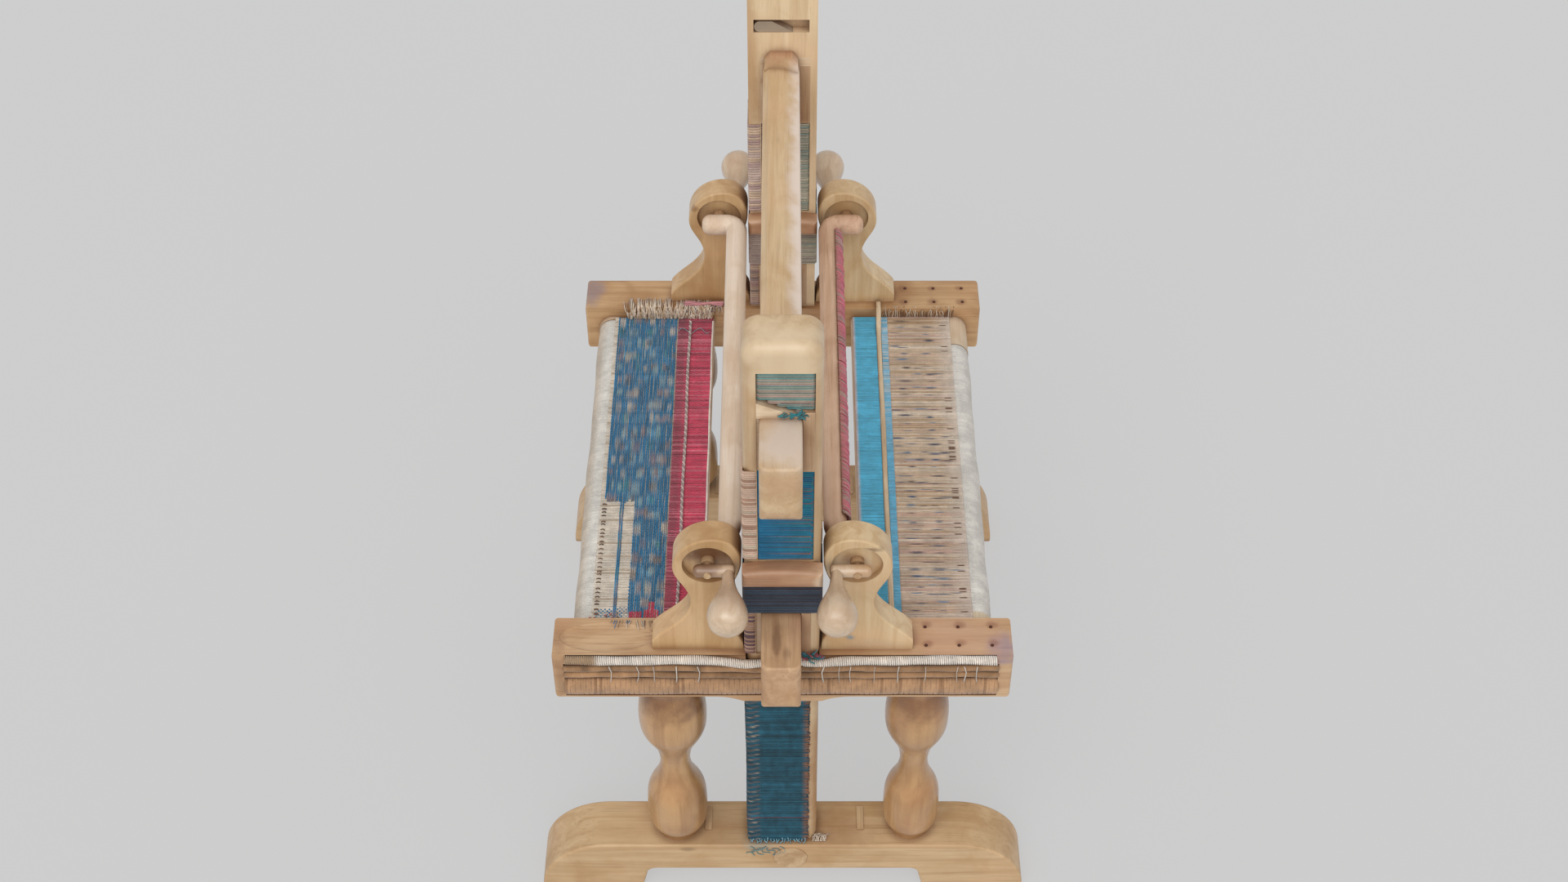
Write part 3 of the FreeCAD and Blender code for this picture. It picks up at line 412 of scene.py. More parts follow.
FINISHES = {
    "_foot": wood(
        "foot", "cdae86", "ac8558", along_x, 1.0, marks=[
            ((9, -318, 63), (17, 12, 17), "8f6f55", 0.5),
            ((-25, -312, 84), (24, 16, 10), "6f8b8b", 0.45),
            ((70, -300, 90), (45, 40, 9), "9c7556", 0.4),
            ((-70, -300, 90), (45, 40, 9), "a07a58", 0.35),
        ]),
    "_baluster": wood(
        "baluster", "bf9565", "8f6239", along_z, 2.0, streak=0.08, knots=0.1, coat=0.8, marks=[
            # painted shade: the legs are darkened under the rail (z 350), under the upper bulb (z 275) and
            # at their foot (z 100)
            ((x, -285, z), (wide, wide, tall), tone, strength - less)
            for z, wide, tall, tone, strength in (
                (350, 56, 34, "6f4628", 0.85), (275, 46, 26, "8f6038", 0.45), (100, 46, 12, "8a5d38", 0.4))
            for x, less in ((-124, 0.0), (152, 0.05))
        ]),
    "front_rail": wood(
        "front_rail", "cfae88", "a97e58", along_x, 3.0, streak=0.5, marks=[
            ((241, -300, 428), (22, 30, 9), "8f7d93", 0.65),
            ((-243, -290, 400), (9, 40, 40), "7b5236", 0.6),
            ((190, -285, 433), (60, 40, 12), "bd8f78", 0.4),
            *[((x + 2, y + 3, 433), (7, 6, 5), "8a5a44", 0.55)
              for x in (156, 192, 228) for y in (-295, -269)],
        ]),
    "rear_rail": wood(
        "rear_rail", "c9a479", "a1754c", along_x, 4.0, streak=0.5, marks=[
            ((-243, 290, 430), (16, 30, 10), "857b86", 0.6),
            # painted shade on the rail's inner face behind the left roller's end
            ((-215, 256, 405), (9, 8, 14), "4a3020", 0.8),
            *[((x - 2, y, 433), (7, 6, 5), "85573c", 0.55) for x in (156, 192, 228) for y in (269, 295)],
        ]),
    "front_post": wood(
        "front_post", "d0b590", "b08c62", along_z, 5.0, streak=0.14, knots=0.1, coat=0.4, marks=[
            ((44, -300, 200), (16, 20, 150), "9a6a40", 0.6),
            # painted highlight: a pale patch on the top of the post's head
            ((0, -306, 866), (46, 40, 44), "dcc5a4", 0.75),
        ]),
    "rear_post": wood("rear_post", "e2c9a4", "c4a27a", along_z, 6.0, streak=0.2, marks=[
        ((-38, 262, 790), (9, 60, 200), "a97c50", 0.4)]),
    "rear_slot_peg": wood("peg", "a89a86", "7d6a58", along_x, 7.0),
    "upper_beam": wood(
        "upper_beam", "d4b892", "b99468", along_y, 8.0, knots=0.6, marks=[
            # painted highlight along the beam's right chamfer
            ((24, 0, 802), (17, 420, 20), "e6d6ca", 0.85),
            ((0, 258, 820), (34, 20, 14), "a8705a", 0.5),
            # painted highlight: the front tenon's top is made pale
            ((0, -340, 792), (30, 46, 12), "d9c8ba", 0.8),
            ((-2, -382, 724), (30, 16, 14), "a27a5c", 0.5),
            ((0, -380, 765), (30, 8, 24), "b48d6c", 0.5),
        ]),
    "lower_beam": wood(
        "lower_beam", "d2ae88", "a67c5a", along_y, 9.0, streak=0.4, knots=0.6, marks=[
            ((-6, -348, 503), (5, 26, 6), "6a4a36", 0.55),
            ((4, -366, 500), (5, 12, 6), "6a4a36", 0.4),
            ((14, -370, 455), (16, 24, 26), "bd936b", 0.6),
            ((20, -330, 490), (16, 30, 20), "c99a82", 0.5),
        ]),
    "left_tension_bar": wood("left_bar", "ead7c3", "d0b294", along_y, 10.0, 0.25, knots=0.4),
    "right_tension_bar": wood("right_bar", "dcb99c", "b38a6c", along_y, 11.0, 0.45, knots=0.7),
    "_left_bracket": wood(
        "left_bracket", "d3b184", "ac8150", along_z, 12.0, streak=0.15, knots=0.3, coat=0.4, marks=[
            # painted shade: the hollows of the bracket heads, the dark eye in the front one, and a spot by
            # the rear dowel's end
            ((-76, -293, 580), (25, 7.5, 17), "5a341e", 0.85),
            ((-96, -300, 572), (9, 9, 8), "6b4128", 0.7),
            ((-80, 293, 574), (25, 7.5, 22), "7f5a3c", 0.5),
            ((-108, 272, 582), (6, 4, 5), "7a5236", 0.6),
        ]),
    "_right_bracket": wood(
        "right_bracket", "dcc29a", "ba9260", along_z, 12.5,
        streak=0.12, knots=0.2, coat=0.4, shadow=0.3, marks=[
            # painted shade in the hollows of the bracket heads, darkest along the front one's top
            ((88, -298, 592), (17, 6, 4), "5f3f2a", 0.7),
            ((72, -293, 572), (10, 7.5, 12), "8a6242", 0.5),
            ((82, 293, 574), (25, 7.5, 22), "8a6242", 0.4),
            ((73, -303, 452), (6, 5, 5), "4a86a0", 0.7),
            ((100, -300, 440), (40, 20, 9), "c9ae90", 0.5),
        ]),
    "_handle": wood(
        "handle", "d3bb9f", "ac8b6b", along_y, 13.0, streak=0.15, knots=0.2, coat=0.9, marks=[
            ((-94, -307, 568), (30, 20, 18), "6f4528", 0.9),
            ((92, -307, 568), (26, 20, 18), "b98f63", 0.8),
        ]),
    "_crank_pins bracket_dowels foot_keys foot_plugs": wood(
        "pin", "d2b48c", "9c744e", along_y, 14.0, knots=0.3),
    "_collars": wood(
        "collar", "c79e7a", "946648", along_x, 15.0, streak=0.35, knots=0.2, coat=0.5, marks=[
            # painted shade along the collar's lower part, and a painted highlight at its right end
            ((0, -322, 562), (60, 16, 8), "8a5a40", 0.55),
            ((40, -322, 572), (8, 14, 12), "dcc4a6", 0.8),
        ]),
    "_key": wood(
        "key", "c7a887", "9a7350", along_z, 16.0),
    "_wedge _shim": wood(
        "wedge", "e8d3b6", "c8a67e", along_x, 17.0, streak=0.2),
    "_roller": wood("roller", "d8c8ae", "b39672", along_y, 18.0),
    "_inner_bar": wood("inner_bar", "dccbb6", "b79a80", along_y, 19.0),
    "rail_nails": iron("nail_iron"),
}
for endings, material in FINISHES.items():
    for node, piece in NODES.items():
        if node.endswith(tuple(endings.split())):
            piece.data.materials.clear()
            piece.data.materials.append(material)

YARN = yarn("spun_yarn")
DYED = yarn("dyed_yarn", 0.04)
SOFT = yarn("soft_cloth", 0.1)
CREAM, BEIGE, TANNED, BROWN, DARK = rgbs("ddd2c2 d0bda6 b89c7a 7a5a44 44342c")
BLUE, NAVY, TEAL, CYAN, CRIMSON = rgbs("19709c 22506c 2b8490 50b5d8 cc3d5c")
MAUVE, GREYCYAN = rgbs("8f7c82 8fb0ba")

# Stretched work on the left: a blue weft over cream warp, then a crimson band

WEFT_X0, WEFT_X1, WEFT_PITCH = -206.5, -132.0, 2.33
WARP_PITCH = 2.55
BARE_BLOCKS = [(-208.0, -189.0), (-184.5, -173.5)]
BARE_FRONT, BARE_REAR = -232.0, -68.0


def tapestry_tints(rows, ys):
    """A colour for each weft and place along it: blue, with flecks in loose rows."""
    count, steps = len(rows), len(ys)
    tints = vary(BLUE, (count, steps), 0.05)
    tints *= 1 + 0.09 * smooth_random((count, steps), 9)[..., None]
    flecks = [MAUVE, GREYCYAN, rgb("c4b8aa"), TEAL, NAVY, rgb("7a6a64"), rgb("5d9ec0")]
    weights = np.array([0.2, 0.2, 0.2, 0.12, 0.1, 0.08, 0.1])
    for row_y in np.arange(-246, 250, 22.5):
        for _ in range(11):
            y = row_y + rng.uniform(-3.5, 3.5)
            x = rng.uniform(WEFT_X0, WEFT_X1)
            half_x, half_y = rng.uniform(1.8, 4.2), rng.uniform(6, 12)
            near = np.abs(rows - x)[:, None] < half_x
            fade = np.clip(1.25 - np.abs(ys - y)[None] / half_y, 0, 1)
            amount = (near * fade * rng.uniform(0.35, 0.85))[..., None]
            tints = blend(tints, amount, flecks[rng.choice(len(flecks), p=weights)])
    for x0, x1, y0, y1 in ((-170, -157, -250, -236), (-155, -137, -252, -233), (-149, -143, -238, -222)):
        red = ((rows > x0) & (rows < x1))[:, None] & ((ys < y1) & (ys > y0))[None]
        tints[red] = vary(CRIMSON * 0.85, (red.sum(),), 0.1)
    return tints


def left_work():
    def ground_tint(points):
        bare = np.zeros(len(points), bool)
        for x0, x1 in BARE_BLOCKS:
            bare |= (points[:, 0] > x0) & (points[:, 0] < x1) & (points[:, 1] < BARE_REAR)
        bare |= points[:, 0] < WEFT_X0
        # the ground is darker than the threads above it, navy under the weft and dulled beige under the
        # bare warp: painted shade in the gaps between the threads
        return np.where(bare[:, None], BEIGE * 0.92, NAVY * 0.9)

    ground = slab("tapestry_ground", -207.5, -131.2, 417.7, ground_tint)
    ys = np.arange(-HALF + 2, HALF - 1, WARP_PITCH)
    warp = Strands()
    threads = lines_across(-212, -131.5, ys, CLOTH_Z - 1.0, 40, 0.12)
    bare = (threads[..., 0] < -172) & (threads[..., 1] < BARE_REAR) | (threads[..., 0] < -206)
    threads[bare, 2] += 1.3
    tints = np.where(rng.random((len(ys), 1)) < 0.14, BEIGE * 0.9, CREAM)
    tints = tints * rng.uniform(0.88, 1.06, (len(ys), 1))
    warp.add(threads, 1.22, tints)
    warp_piece = warp.build("tapestry_warp", YARN)

    rows = np.arange(WEFT_X0, WEFT_X1, WEFT_PITCH)
    y = np.arange(-HALF + 3, HALF - 1, WARP_PITCH / 2)
    tints = tapestry_tints(rows, y)
    weft = Strands()
    for k, x in enumerate(rows):
        pieces = [(-HALF, HALF)]
        if any(x0 < x < x1 for x0, x1 in BARE_BLOCKS):
            pieces = [(-HALF, BARE_FRONT - rng.uniform(-3, 3)), (BARE_REAR + rng.uniform(-5, 4), HALF)]
        for low, high in pieces:
            inside = (y >= low) & (y <= high)
            here = y[inside]
            if len(here) < 4:
                continue
            place = xyz(x + 0.16 * smooth_random(here.shape, 5), here,
                        CLOTH_Z + 0.45 + 0.45 * np.sin(math.pi * (here / WARP_PITCH + k)))
            if -189 <= x <= -184:
                place[here < BARE_REAR, 2] += 0.7
            weft.add(place, 1.2, tints[k][inside][None], flat=0.7)
    weft_piece = weft.build("tapestry_weft", YARN)

    loose = Strands()
    # small dark knots where the unwoven warp meets the roller
    knots = np.arange(-240, -73, 6.4) + rng.uniform(-1.5, 1.5, 27)
    for y0 in knots:
        line = [(-209.5, y0, 420.0), (-207, y0 + 0.4, 420.8), (-204.5, y0 - 0.3, 420.2)]
        loose.add(line, 0.75, BROWN * rng.uniform(0.6, 1.1))
    # drips and ends over the front rail
    edge = [(x, -253, 419.6) for x in np.arange(-207, -132, 1.7)]
    fringe(loose, edge, (0.05, -1, 0.3), 13, 3, [CREAM, TANNED, BEIGE, CREAM, BROWN], 0.5, 0.35)
    blue_edge = [(x, -256, 420) for x in np.arange(-186, -140, 2.7)]
    over_rail(loose, blue_edge, -270, [BLUE, TANNED, CREAM, BROWN, TANNED])
    specks = rng.uniform((-214, -254), (-176, -240), (18, 2))
    for x, y0 in specks:
        tint = [CRIMSON, rgb("b5653a"), DARK, TANNED][rng.integers(4)]
        loose.add([(x - 1.4, y0, 420.2), (x, y0 + 0.6, 420.9), (x + 1.4, y0 + 0.2, 420.2)], 0.5, tint * 0.8)
    # the rear fringe climbs the rail's inner face and lies on its top
    rear = rng.uniform((-196, 249), (-90, 254), (320, 2))
    climb(loose, xyz(*rear.T, 420.3), [CREAM, CREAM, BEIGE, TANNED, *rgbs("d8c4ae c9b09c a98c70")])
    wander = [(-131 + 3 * t, 226 + 5 * math.sin(0.9 * t), 421.6 + 0.6 * math.sin(2.1 * t))
              for t in range(14)]
    loose.add(wander, 0.45, GREYCYAN * 0.7)
    loose_piece = loose.build("tapestry_ends", YARN)
    pieces = [warp_piece, weft_piece, loose_piece]
    return [ground, *pieces]


def over_rail(strands, roots, reach_y, tints):
    """Threads that climb from the work's front edge onto the rail's top."""
    for root in roots:
        x, y, z = root
        far = reach_y + rng.uniform(-6, 8)
        lean = rng.uniform(-5, 5)
        path = [(x, y, z), (x + 0.2 * lean, -258, 428), (x + 0.4 * lean, -261, 433.6),
                (x + 0.7 * lean, (far - 261) / 2, 433.4), (x + lean, far, 433.0)]
        strands.add(path, 0.45, tints[rng.integers(len(tints))] * rng.uniform(0.7, 1.1), up=(1, 0, 0))


def climb(strands, roots, tints):
    """Threads that climb the rear rail's inner face and curl over its top edge."""
    for x, y, z in roots:
        lean = rng.uniform(-6, 6)
        far = rng.uniform(257, 276)
        top = rng.uniform(424, 436)
        path = [(x, y, z), (x + 0.3 * lean, 253.6, (z + top) / 2), (x + 0.6 * lean, 254.3, top)]
        if top > 429:
            path += [(x + 0.8 * lean, 257.5, 434.0), (x + lean, far, 433.0 + rng.uniform(0, 1.2))]
        strands.add(path, rng.uniform(0.45, 0.75), tints[rng.integers(len(tints))] * rng.uniform(1.0, 1.3),
                    up=(1, 0.1, 0))


def red_work():
    # the ground under the band is crimson at about a third of its brightness: painted shade between the
    # threads
    ground = slab("red_band_ground", -131.2, -88.5, 417.7, CRIMSON * 0.35)
    ys = np.arange(-HALF + 1, HALF - 0.5, 1.72)
    steps = 22
    paths = lines_across(-132, -88.5, ys, CLOTH_Z + 0.5, steps, 0.12)
    paths[..., 2] += 0.25 * np.sin(np.arange(steps) * 1.9 + np.arange(len(ys))[:, None] * math.pi)
    tints = vary(CRIMSON, (len(ys), 1), 0.09) * np.ones((1, steps, 1))
    tints *= 1 + 0.07 * smooth_random((len(ys), steps), 2)[..., None]
    x = paths[..., 0]
    outer = ramp(x, -118, -6)[..., None]
    tints = tints * (1 - 0.5 * outer) + 0.12 * outer * MAUVE
    rearward = ramp(ys, 150, 105)[:, None, None]
    tints = tints * (1 - 0.35 * rearward)
    odd = rng.random(len(ys)) < 0.2
    tints[odd] = tints[odd] * 0.6 + 0.4 * vary(rgb("e08a98"), (odd.sum(), 1), 0.15)
    dark = rng.random(len(ys)) < 0.1
    tints[dark] *= 0.62
    band = Strands()
    band.add(paths, 0.95, tints, flat=0.85)
    band_piece = band.build("red_band_threads", YARN)
    braid = Strands()
    y = np.arange(-238, 246, 1.0)
    for phase, tint in ((0, rgb("cdb9b2")), (math.pi, rgb("a08f8c"))):
        turn = 2 * math.pi * y / 10 + phase
        line = xyz(-117 + np.cos(turn) + 0.4 * np.sin(y / 31), y, 421.3 + 0.9 * np.sin(turn))
        braid.add(line, 1.1, vary(tint, (1, len(y)), 0.1), sides=6)
    selvage = xyz(-88.4 + 0.2 * np.sin(y / 17), y, 420.3)
    braid.add(selvage, 1.25, vary(rgb("e3dace"), (1, len(y)), 0.05), sides=6)
    braid_piece = braid.build("red_band_braid", YARN)
    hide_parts("left_braid")
    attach(braid_piece, "frame")
    tuft = Strands()
    # dusty-pink roll on the rear rail's top, with short threads below it
    t = np.linspace(0, 1, 30)
    for k in range(7):
        roll = xyz(-125 + 49 * t + rng.uniform(-2, 2),
                   262.5 + 1.7 * math.cos(k) + 1.2 * np.sin(7 * t + k),
                   435.0 + 1.4 * math.sin(k) + 0.4 * np.sin(11 * t))
        tuft.add(roll, 1.3, rgb("c98a8e") * rng.uniform(0.8, 1.1), up=(0, 0.2, 1))
    roots = rng.uniform((-124, 257), (-78, 261), (80, 2))
    fringe(tuft, xyz(*roots.T, 433.4), (0, -1, 0.1), 8, 6, [BEIGE, CREAM, TANNED, MAUVE], 0.45, 0.6)
    tuft_piece = tuft.build("red_band_ends", YARN)
    return [ground, band_piece, tuft_piece]


# Stretched work on the right: cyan bands each side of a stick, then open warp


def right_work():
    made = []
    edge = Strands()
    ys = np.arange(-HALF + 1, HALF - 0.5, 1.75)
    steps = 16
    inner = lines_across(88.3, 118, ys, CLOTH_Z + 0.45, steps, 0.1)
    tints = vary(CYAN, (len(ys), 1), 0.08) * np.ones((1, steps, 1))
    tints *= 1 + 0.05 * smooth_random((len(ys), steps), 2)[..., None]
    tints = blend(tints, ramp(inner[..., 0], 91.5, -2.5)[..., None], rgb("d9c3c0"))
    edge.add(inner, 0.96, tints, flat=0.85)
    outer = lines_across(124, 132.4, ys, CLOTH_Z + 0.45, 8, 0.1)
    tints = vary(rgb("5db2d6"), (len(ys), 1), 0.09) * np.ones((1, 8, 1))
    mottle = np.clip((ys + 20) / 270, 0.08, 0.75)[:, None, None] * rng.random((len(ys), 1, 1))
    tints = blend(tints, mottle, CREAM)
    edge.add(outer, 0.96, tints, flat=0.85)
    threads = edge.build("blue_band_threads", YARN)
    # the grounds under the bands are darker cyan: painted shade between the threads
    ground = slab("blue_band_ground", 88.5, 118, 417.6, CYAN * 0.5)
    narrow = slab("narrow_band_ground", 124, 132.2, 417.6, CYAN * 0.4)
    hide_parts("right_blue_bands")
    made += [threads, ground, narrow]

    warp = Strands()
    ys = np.arange(-HALF + 1.5, HALF - 1, 1.72)
    steps = 40
    paths = lines_across(132, 211, ys, CLOTH_Z + 0.45, steps, 0.14)
    kinds = rng.choice(4, len(ys), p=(0.42, 0.28, 0.12, 0.18))
    tints = np.asarray([BEIGE, CREAM, TANNED, rgb("cfb2a2")])[kinds]
    tints = (tints * rng.uniform(0.86, 1.06, (len(ys), 1)))[:, None] * np.array([0.99, 0.93, 0.87])
    tints = tints * (1 + 0.05 * smooth_random((len(ys), steps), 3)[..., None])
    x = paths[0, :, 0]
    tints = blend(tints, ramp(x, 188, 22)[None, :, None] * 0.6, rgb("ddd3c8"))
    tints = blend(tints, ramp(ys, -60, -190)[:, None, None] * 0.3, rgb("d6bdb2"))
    dashes = rgbs("4d5f7a 3c3f55 6b8aa6 54423d")
    for row_y in np.arange(-248, 252, 12.4):
        for x0 in (151, 180, 166, 140, 192):
            if rng.random() < (0.12 if x0 in (151, 180) else 0.72):
                continue
            half_x, half_y = rng.uniform(4, 10), rng.uniform(0.7, 1.5)
            centre = x0 + rng.uniform(-4, 4)
            near = np.abs(ys - row_y - rng.uniform(-2, 2))[:, None] < half_y
            fade = np.clip(1.3 - np.abs(x - centre)[None] / half_x, 0, 1) * rng.uniform(0.6, 0.95)
            amount = (near * fade)[..., None]
            tints = blend(tints, amount, dashes[rng.choice(4, p=(0.45, 0.25, 0.2, 0.1))])
    ticks = (rng.random((len(ys), 1)) < 0.12) & (np.abs(x - 202) < 4)[None]
    tints[ticks] = BROWN
    warp.add(paths, 0.93, tints, flat=0.9)
    # a second layer crosses lower down
    low = lines_across(133, 210, ys[::2] + 0.9, CLOTH_Z - 0.9, 12, 0.3)
    warp.add(low, 0.95, TANNED * 0.8)
    # ticks on the rear rail's edge
    for x0 in np.arange(127, 215, 2.3):
        top = rng.uniform(424, 433)
        path = [(x0, 253, 420), (x0 + rng.uniform(-1, 1), 254.4, (420 + top) / 2),
                (x0 + rng.uniform(-2, 2), 254.8, top)]
        if rng.random() < 0.45:
            path.append((path[-1][0] + rng.uniform(-1, 1), 259, 433.4))
        tint = [CREAM, TANNED, BEIGE, BROWN][rng.integers(4)]
        warp.add(path, 0.5, tint * rng.uniform(0.8, 1.1), up=(1, 0, 0))
    warp_piece = warp.build("right_warp_threads", YARN)
    # the ground under the open warp is a darker tan: painted shade between the threads
    under = slab("right_warp_ground", 132.2, 207, 416.6, TANNED * 0.68)
    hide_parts("right_warp")
    made += [warp_piece, under]
    return made


def lease_stick():
    """The flat stick: it lies between the cyan bands, and its rear end lies up on the rail."""
    y = np.concatenate([np.linspace(-255, 215, 60), np.linspace(220, 266, 14)])
    t = np.clip((y - 215) / 45, 0, 1)
    lift = 16.5 * t ** 2 * (3 - 2 * t) - 0.8
    outline = []
    for a in np.linspace(0, 2 * math.pi, 12, endpoint=False):
        ca, sa = math.cos(a), math.sin(a)
        outline.append((3.1 * math.copysign(abs(ca) ** 0.55, ca), 2.3 * math.copysign(abs(sa) ** 0.6, sa)))
    outline = np.array(outline)
    centre = xyz(121 + 0.35 * np.sin(y / 40), y, 419.4 + lift)
    wear = 1 + 0.05 * np.sin(y / 13) * np.sin(y / 4.7)
    points = centre[:, None] + wear[:, None, None] * xyz(outline[:, 0], 0, outline[:, 1])
    index = np.arange(len(y) * 12).reshape(len(y), 12)
    here, there = index[:-1], index[1:]
    faces = [np.stack([here, there, np.roll(there, -1, 1), np.roll(here, -1, 1)], -1).reshape(-1, 4)]
    for k in range(1, 11, 2):
        faces += [index[:1][:, [0, k, k + 1, k + 2]], index[-1:][:, [k + 2, k + 1, k, 0]]]
    points = points.reshape(-1, 3)
    stick_wood = wood("stick", "e0cdae", "b89874", along_y, 21.0, streak=0.4, marks=[
        ((117.6, 0, 420), (1.6, 900, 5), "806a58", 0.6)])
    faces = np.concatenate(faces)
    piece = mesh_object("lease_stick_worn", points * MM, faces, np.ones(points.shape), stick_wood)
    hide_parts("lease_stick")
    return piece


# Rollers


def roller_yarn(side, y0, y1, outer_shade_tint):
    sign = -1 if side == "left" else 1
    y = np.linspace(y0 + 1, y1 - 1, 60)
    centres = xyz(sign * ROLLER_X, y, ROLLER_Z)
    swell = 18.3 + 0.9 * np.sin(np.linspace(0, 9, 60)) * np.sin(np.linspace(0, 23, 60))
    path = helix(centres, swell, 1.75, 22)
    tints = vary(rgb("e0dcd4"), (len(path),), 0.02)
    turns = np.repeat(rng.uniform(0.9, 1.03, int(len(path) / 22) + 2), 22)[:len(path)]
    tints *= turns[:, None]
    # the turns on the roller's outer side are blended towards a tan or grey: painted shade on that side
    away = ramp(sign * (path[:, 0] - sign * ROLLER_X), 6, 8)[:, None]
    tints = blend(tints, 0.7 * away, outer_shade_tint)
    wound = Strands()
    wound.add(path, 1.0, tints[None], up=(0.02, 1, 0.01))
    piece = wound.build(side + "_roller_winding", YARN)
    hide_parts(side + "_roller_yarn")
    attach(piece, side + "_roller_body")
    return piece


def bar_binding():
    """Pink-red yarn lashed along the outer side of the right bar."""
    ys = np.arange(-236, 236, 1.9)
    turn = np.radians(np.linspace(-112, 66, 12))
    radius = 13.6 + 0.35 * rng.standard_normal((len(ys), 1))
    paths = xyz(BAR_X + 2.4 + radius * np.cos(turn), ys[:, None] + 0.5 * smooth_random((len(ys), 12), 2),
                BAR_Z + radius * np.sin(turn))
    tints = vary(rgb("cf6478"), (len(ys),), 0.12)
    odd = rng.random(len(ys)) < 0.22
    tints[odd] = vary(rgb("b08a84"), (odd.sum(),), 0.12)
    fade = ramp(np.degrees(turn), 30, 45)[None, :, None]
    tints = blend(tints[:, None], 0.6 * fade, rgb("b08a72"))
    binding = Strands()
    binding.add(paths, 1.1, tints, up=(0.01, 1, 0.02))
    piece = binding.build("right_bar_binding", YARN)
    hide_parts("right_bar_yarn")
    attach(piece, "right_crank")
    return piece


# Cords on the rails


def rail_dressing(end):
    sign = -1 if end == "front" else 1
    x = np.linspace(-238, 235, 110)
    sag = np.exp(-((x - 5) / 60) ** 2) * 2.0
    cane = Strands()
    for z, phase in ((416.0, 0.0), (405.5, 1.3)):
        wander = 0.7 * np.sin(x / 29 + phase) + 0.35 * np.sin(x / 11 + 2 * phase)
        line = xyz(x, sign * 313.6, z + wander - 0.6 * sag)
        radius = 3.9 + 0.25 * np.sin(x / 7 + phase) + 0.5 * (np.abs(((x + 20 * phase) % 61) - 30) < 2)
        tints = vary(rgb("9e7957"), (1, len(x)), 0.06)
        tints *= (1 + 0.1 * smooth_random((len(x),), 4))[None, :, None]
        tints *= np.where(np.abs(((x + 20 * phase) % 61) - 30) < 3, 0.75, 1.0)[None, :, None]
        cane.add(line, radius[None], tints, sides=8)
        # a thin dark brown strand behind and under each cane: painted shade in the crease against the rail
        cane.add(xyz(x, sign * 311.4, z - 5.2 + wander - 0.6 * sag), 1.7, rgb("5a3f2e"))
    cane_piece = cane.build(end + "_canes", YARN)
    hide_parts(end + "_rail_canes")
    roll = Strands()
    turn = np.radians(np.linspace(-84, 84, 10))
    for x0 in np.arange(-236.5, 234, 2.9):
        bulge = 7.8 + 0.5 * math.sin(x0 / 13)
        path = xyz(x0 + 0.5 * np.sin(turn * 2 + x0), sign * (309.6 + bulge * np.cos(turn)),
                   383 + 12.4 * np.sin(turn))
        tint = rgb("b68e6a") * rng.uniform(0.95, 1.04)
        if rng.random() < 0.07:
            tint = rgb("9a7453")
        # the lower part of each turn is blended towards brown: painted shade on the roll's underside
        under = ramp(-np.degrees(turn), 10, 60)[:, None]
        tint = blend(tint, 0.5 * under, rgb("7d5638"))
        roll.add(path, 1.1, tint[None], up=(1, 0.01, 0), sides=8, flat=1.85)
    ties = rng.uniform(-225, 225, 24) if end == "rear" else np.array(
        [-188, -158, -140, -115, -92, 45, 62, 74, 100, 126, 155, 190, 197, 211])
    for x0 in ties:
        tint = rgb("d8cfc4") * rng.uniform(0.8, 1.0)
        lean = rng.uniform(-2.5, 2.5)
        path = [(x0, sign * 318.6, 424), (x0 + lean, sign * 318.8, 415),
                (x0 + 0.6 * lean, sign * 318.6, 405), (x0 + rng.uniform(-1, 1), sign * 317.5, 397)]
        roll.add(path, rng.uniform(0.6, 1.2), tint, up=(1, 0, 0), flat=0.6)
    roll_piece = roll.build(end + "_roll_wrap", YARN)
    return cane_piece, roll_piece


def front_lacing():
    x = np.linspace(-236, 232, 120)
    near_post = ramp(np.abs(x), 54, -12)
    dip = 4.5 * np.exp(-((np.abs(x) - 40) / 26) ** 2) * (np.abs(x) > 20)
    centres = xyz(x, -313.6 - near_post, 429.2 - dip + 0.8 * np.sin(x / 23))
    core_radius = 3.9 - 0.6 * near_post + 0.3 * np.sin(x / 8.5)
    core = Strands()
    core.add(centres, core_radius[None], rgb("c9b8a4"), sides=10)
    core_piece = core.build("lacing_core", SOFT)
    path = helix(centres, core_radius + 0.4, 2.3, 14)
    tints = vary(rgb("eee6dc"), (len(path),), 0.04)
    tints = blend(tints, ramp(path[:, 0], -198, -8)[:, None], rgb("b0906c"))
    turns = np.repeat(rng.uniform(0.88, 1.04, int(len(path) / 14) + 2), 14)[:len(path)]
    wrap = Strands()
    wrap.add(path, 1.05, (tints * turns[:, None])[None], up=(1, 0.02, 0.01))
    wrap_piece = wrap.build("lacing_wrap", YARN)
    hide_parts("front_rail_lacing")
    return core_piece, wrap_piece


# Windings and sleeves on the posts


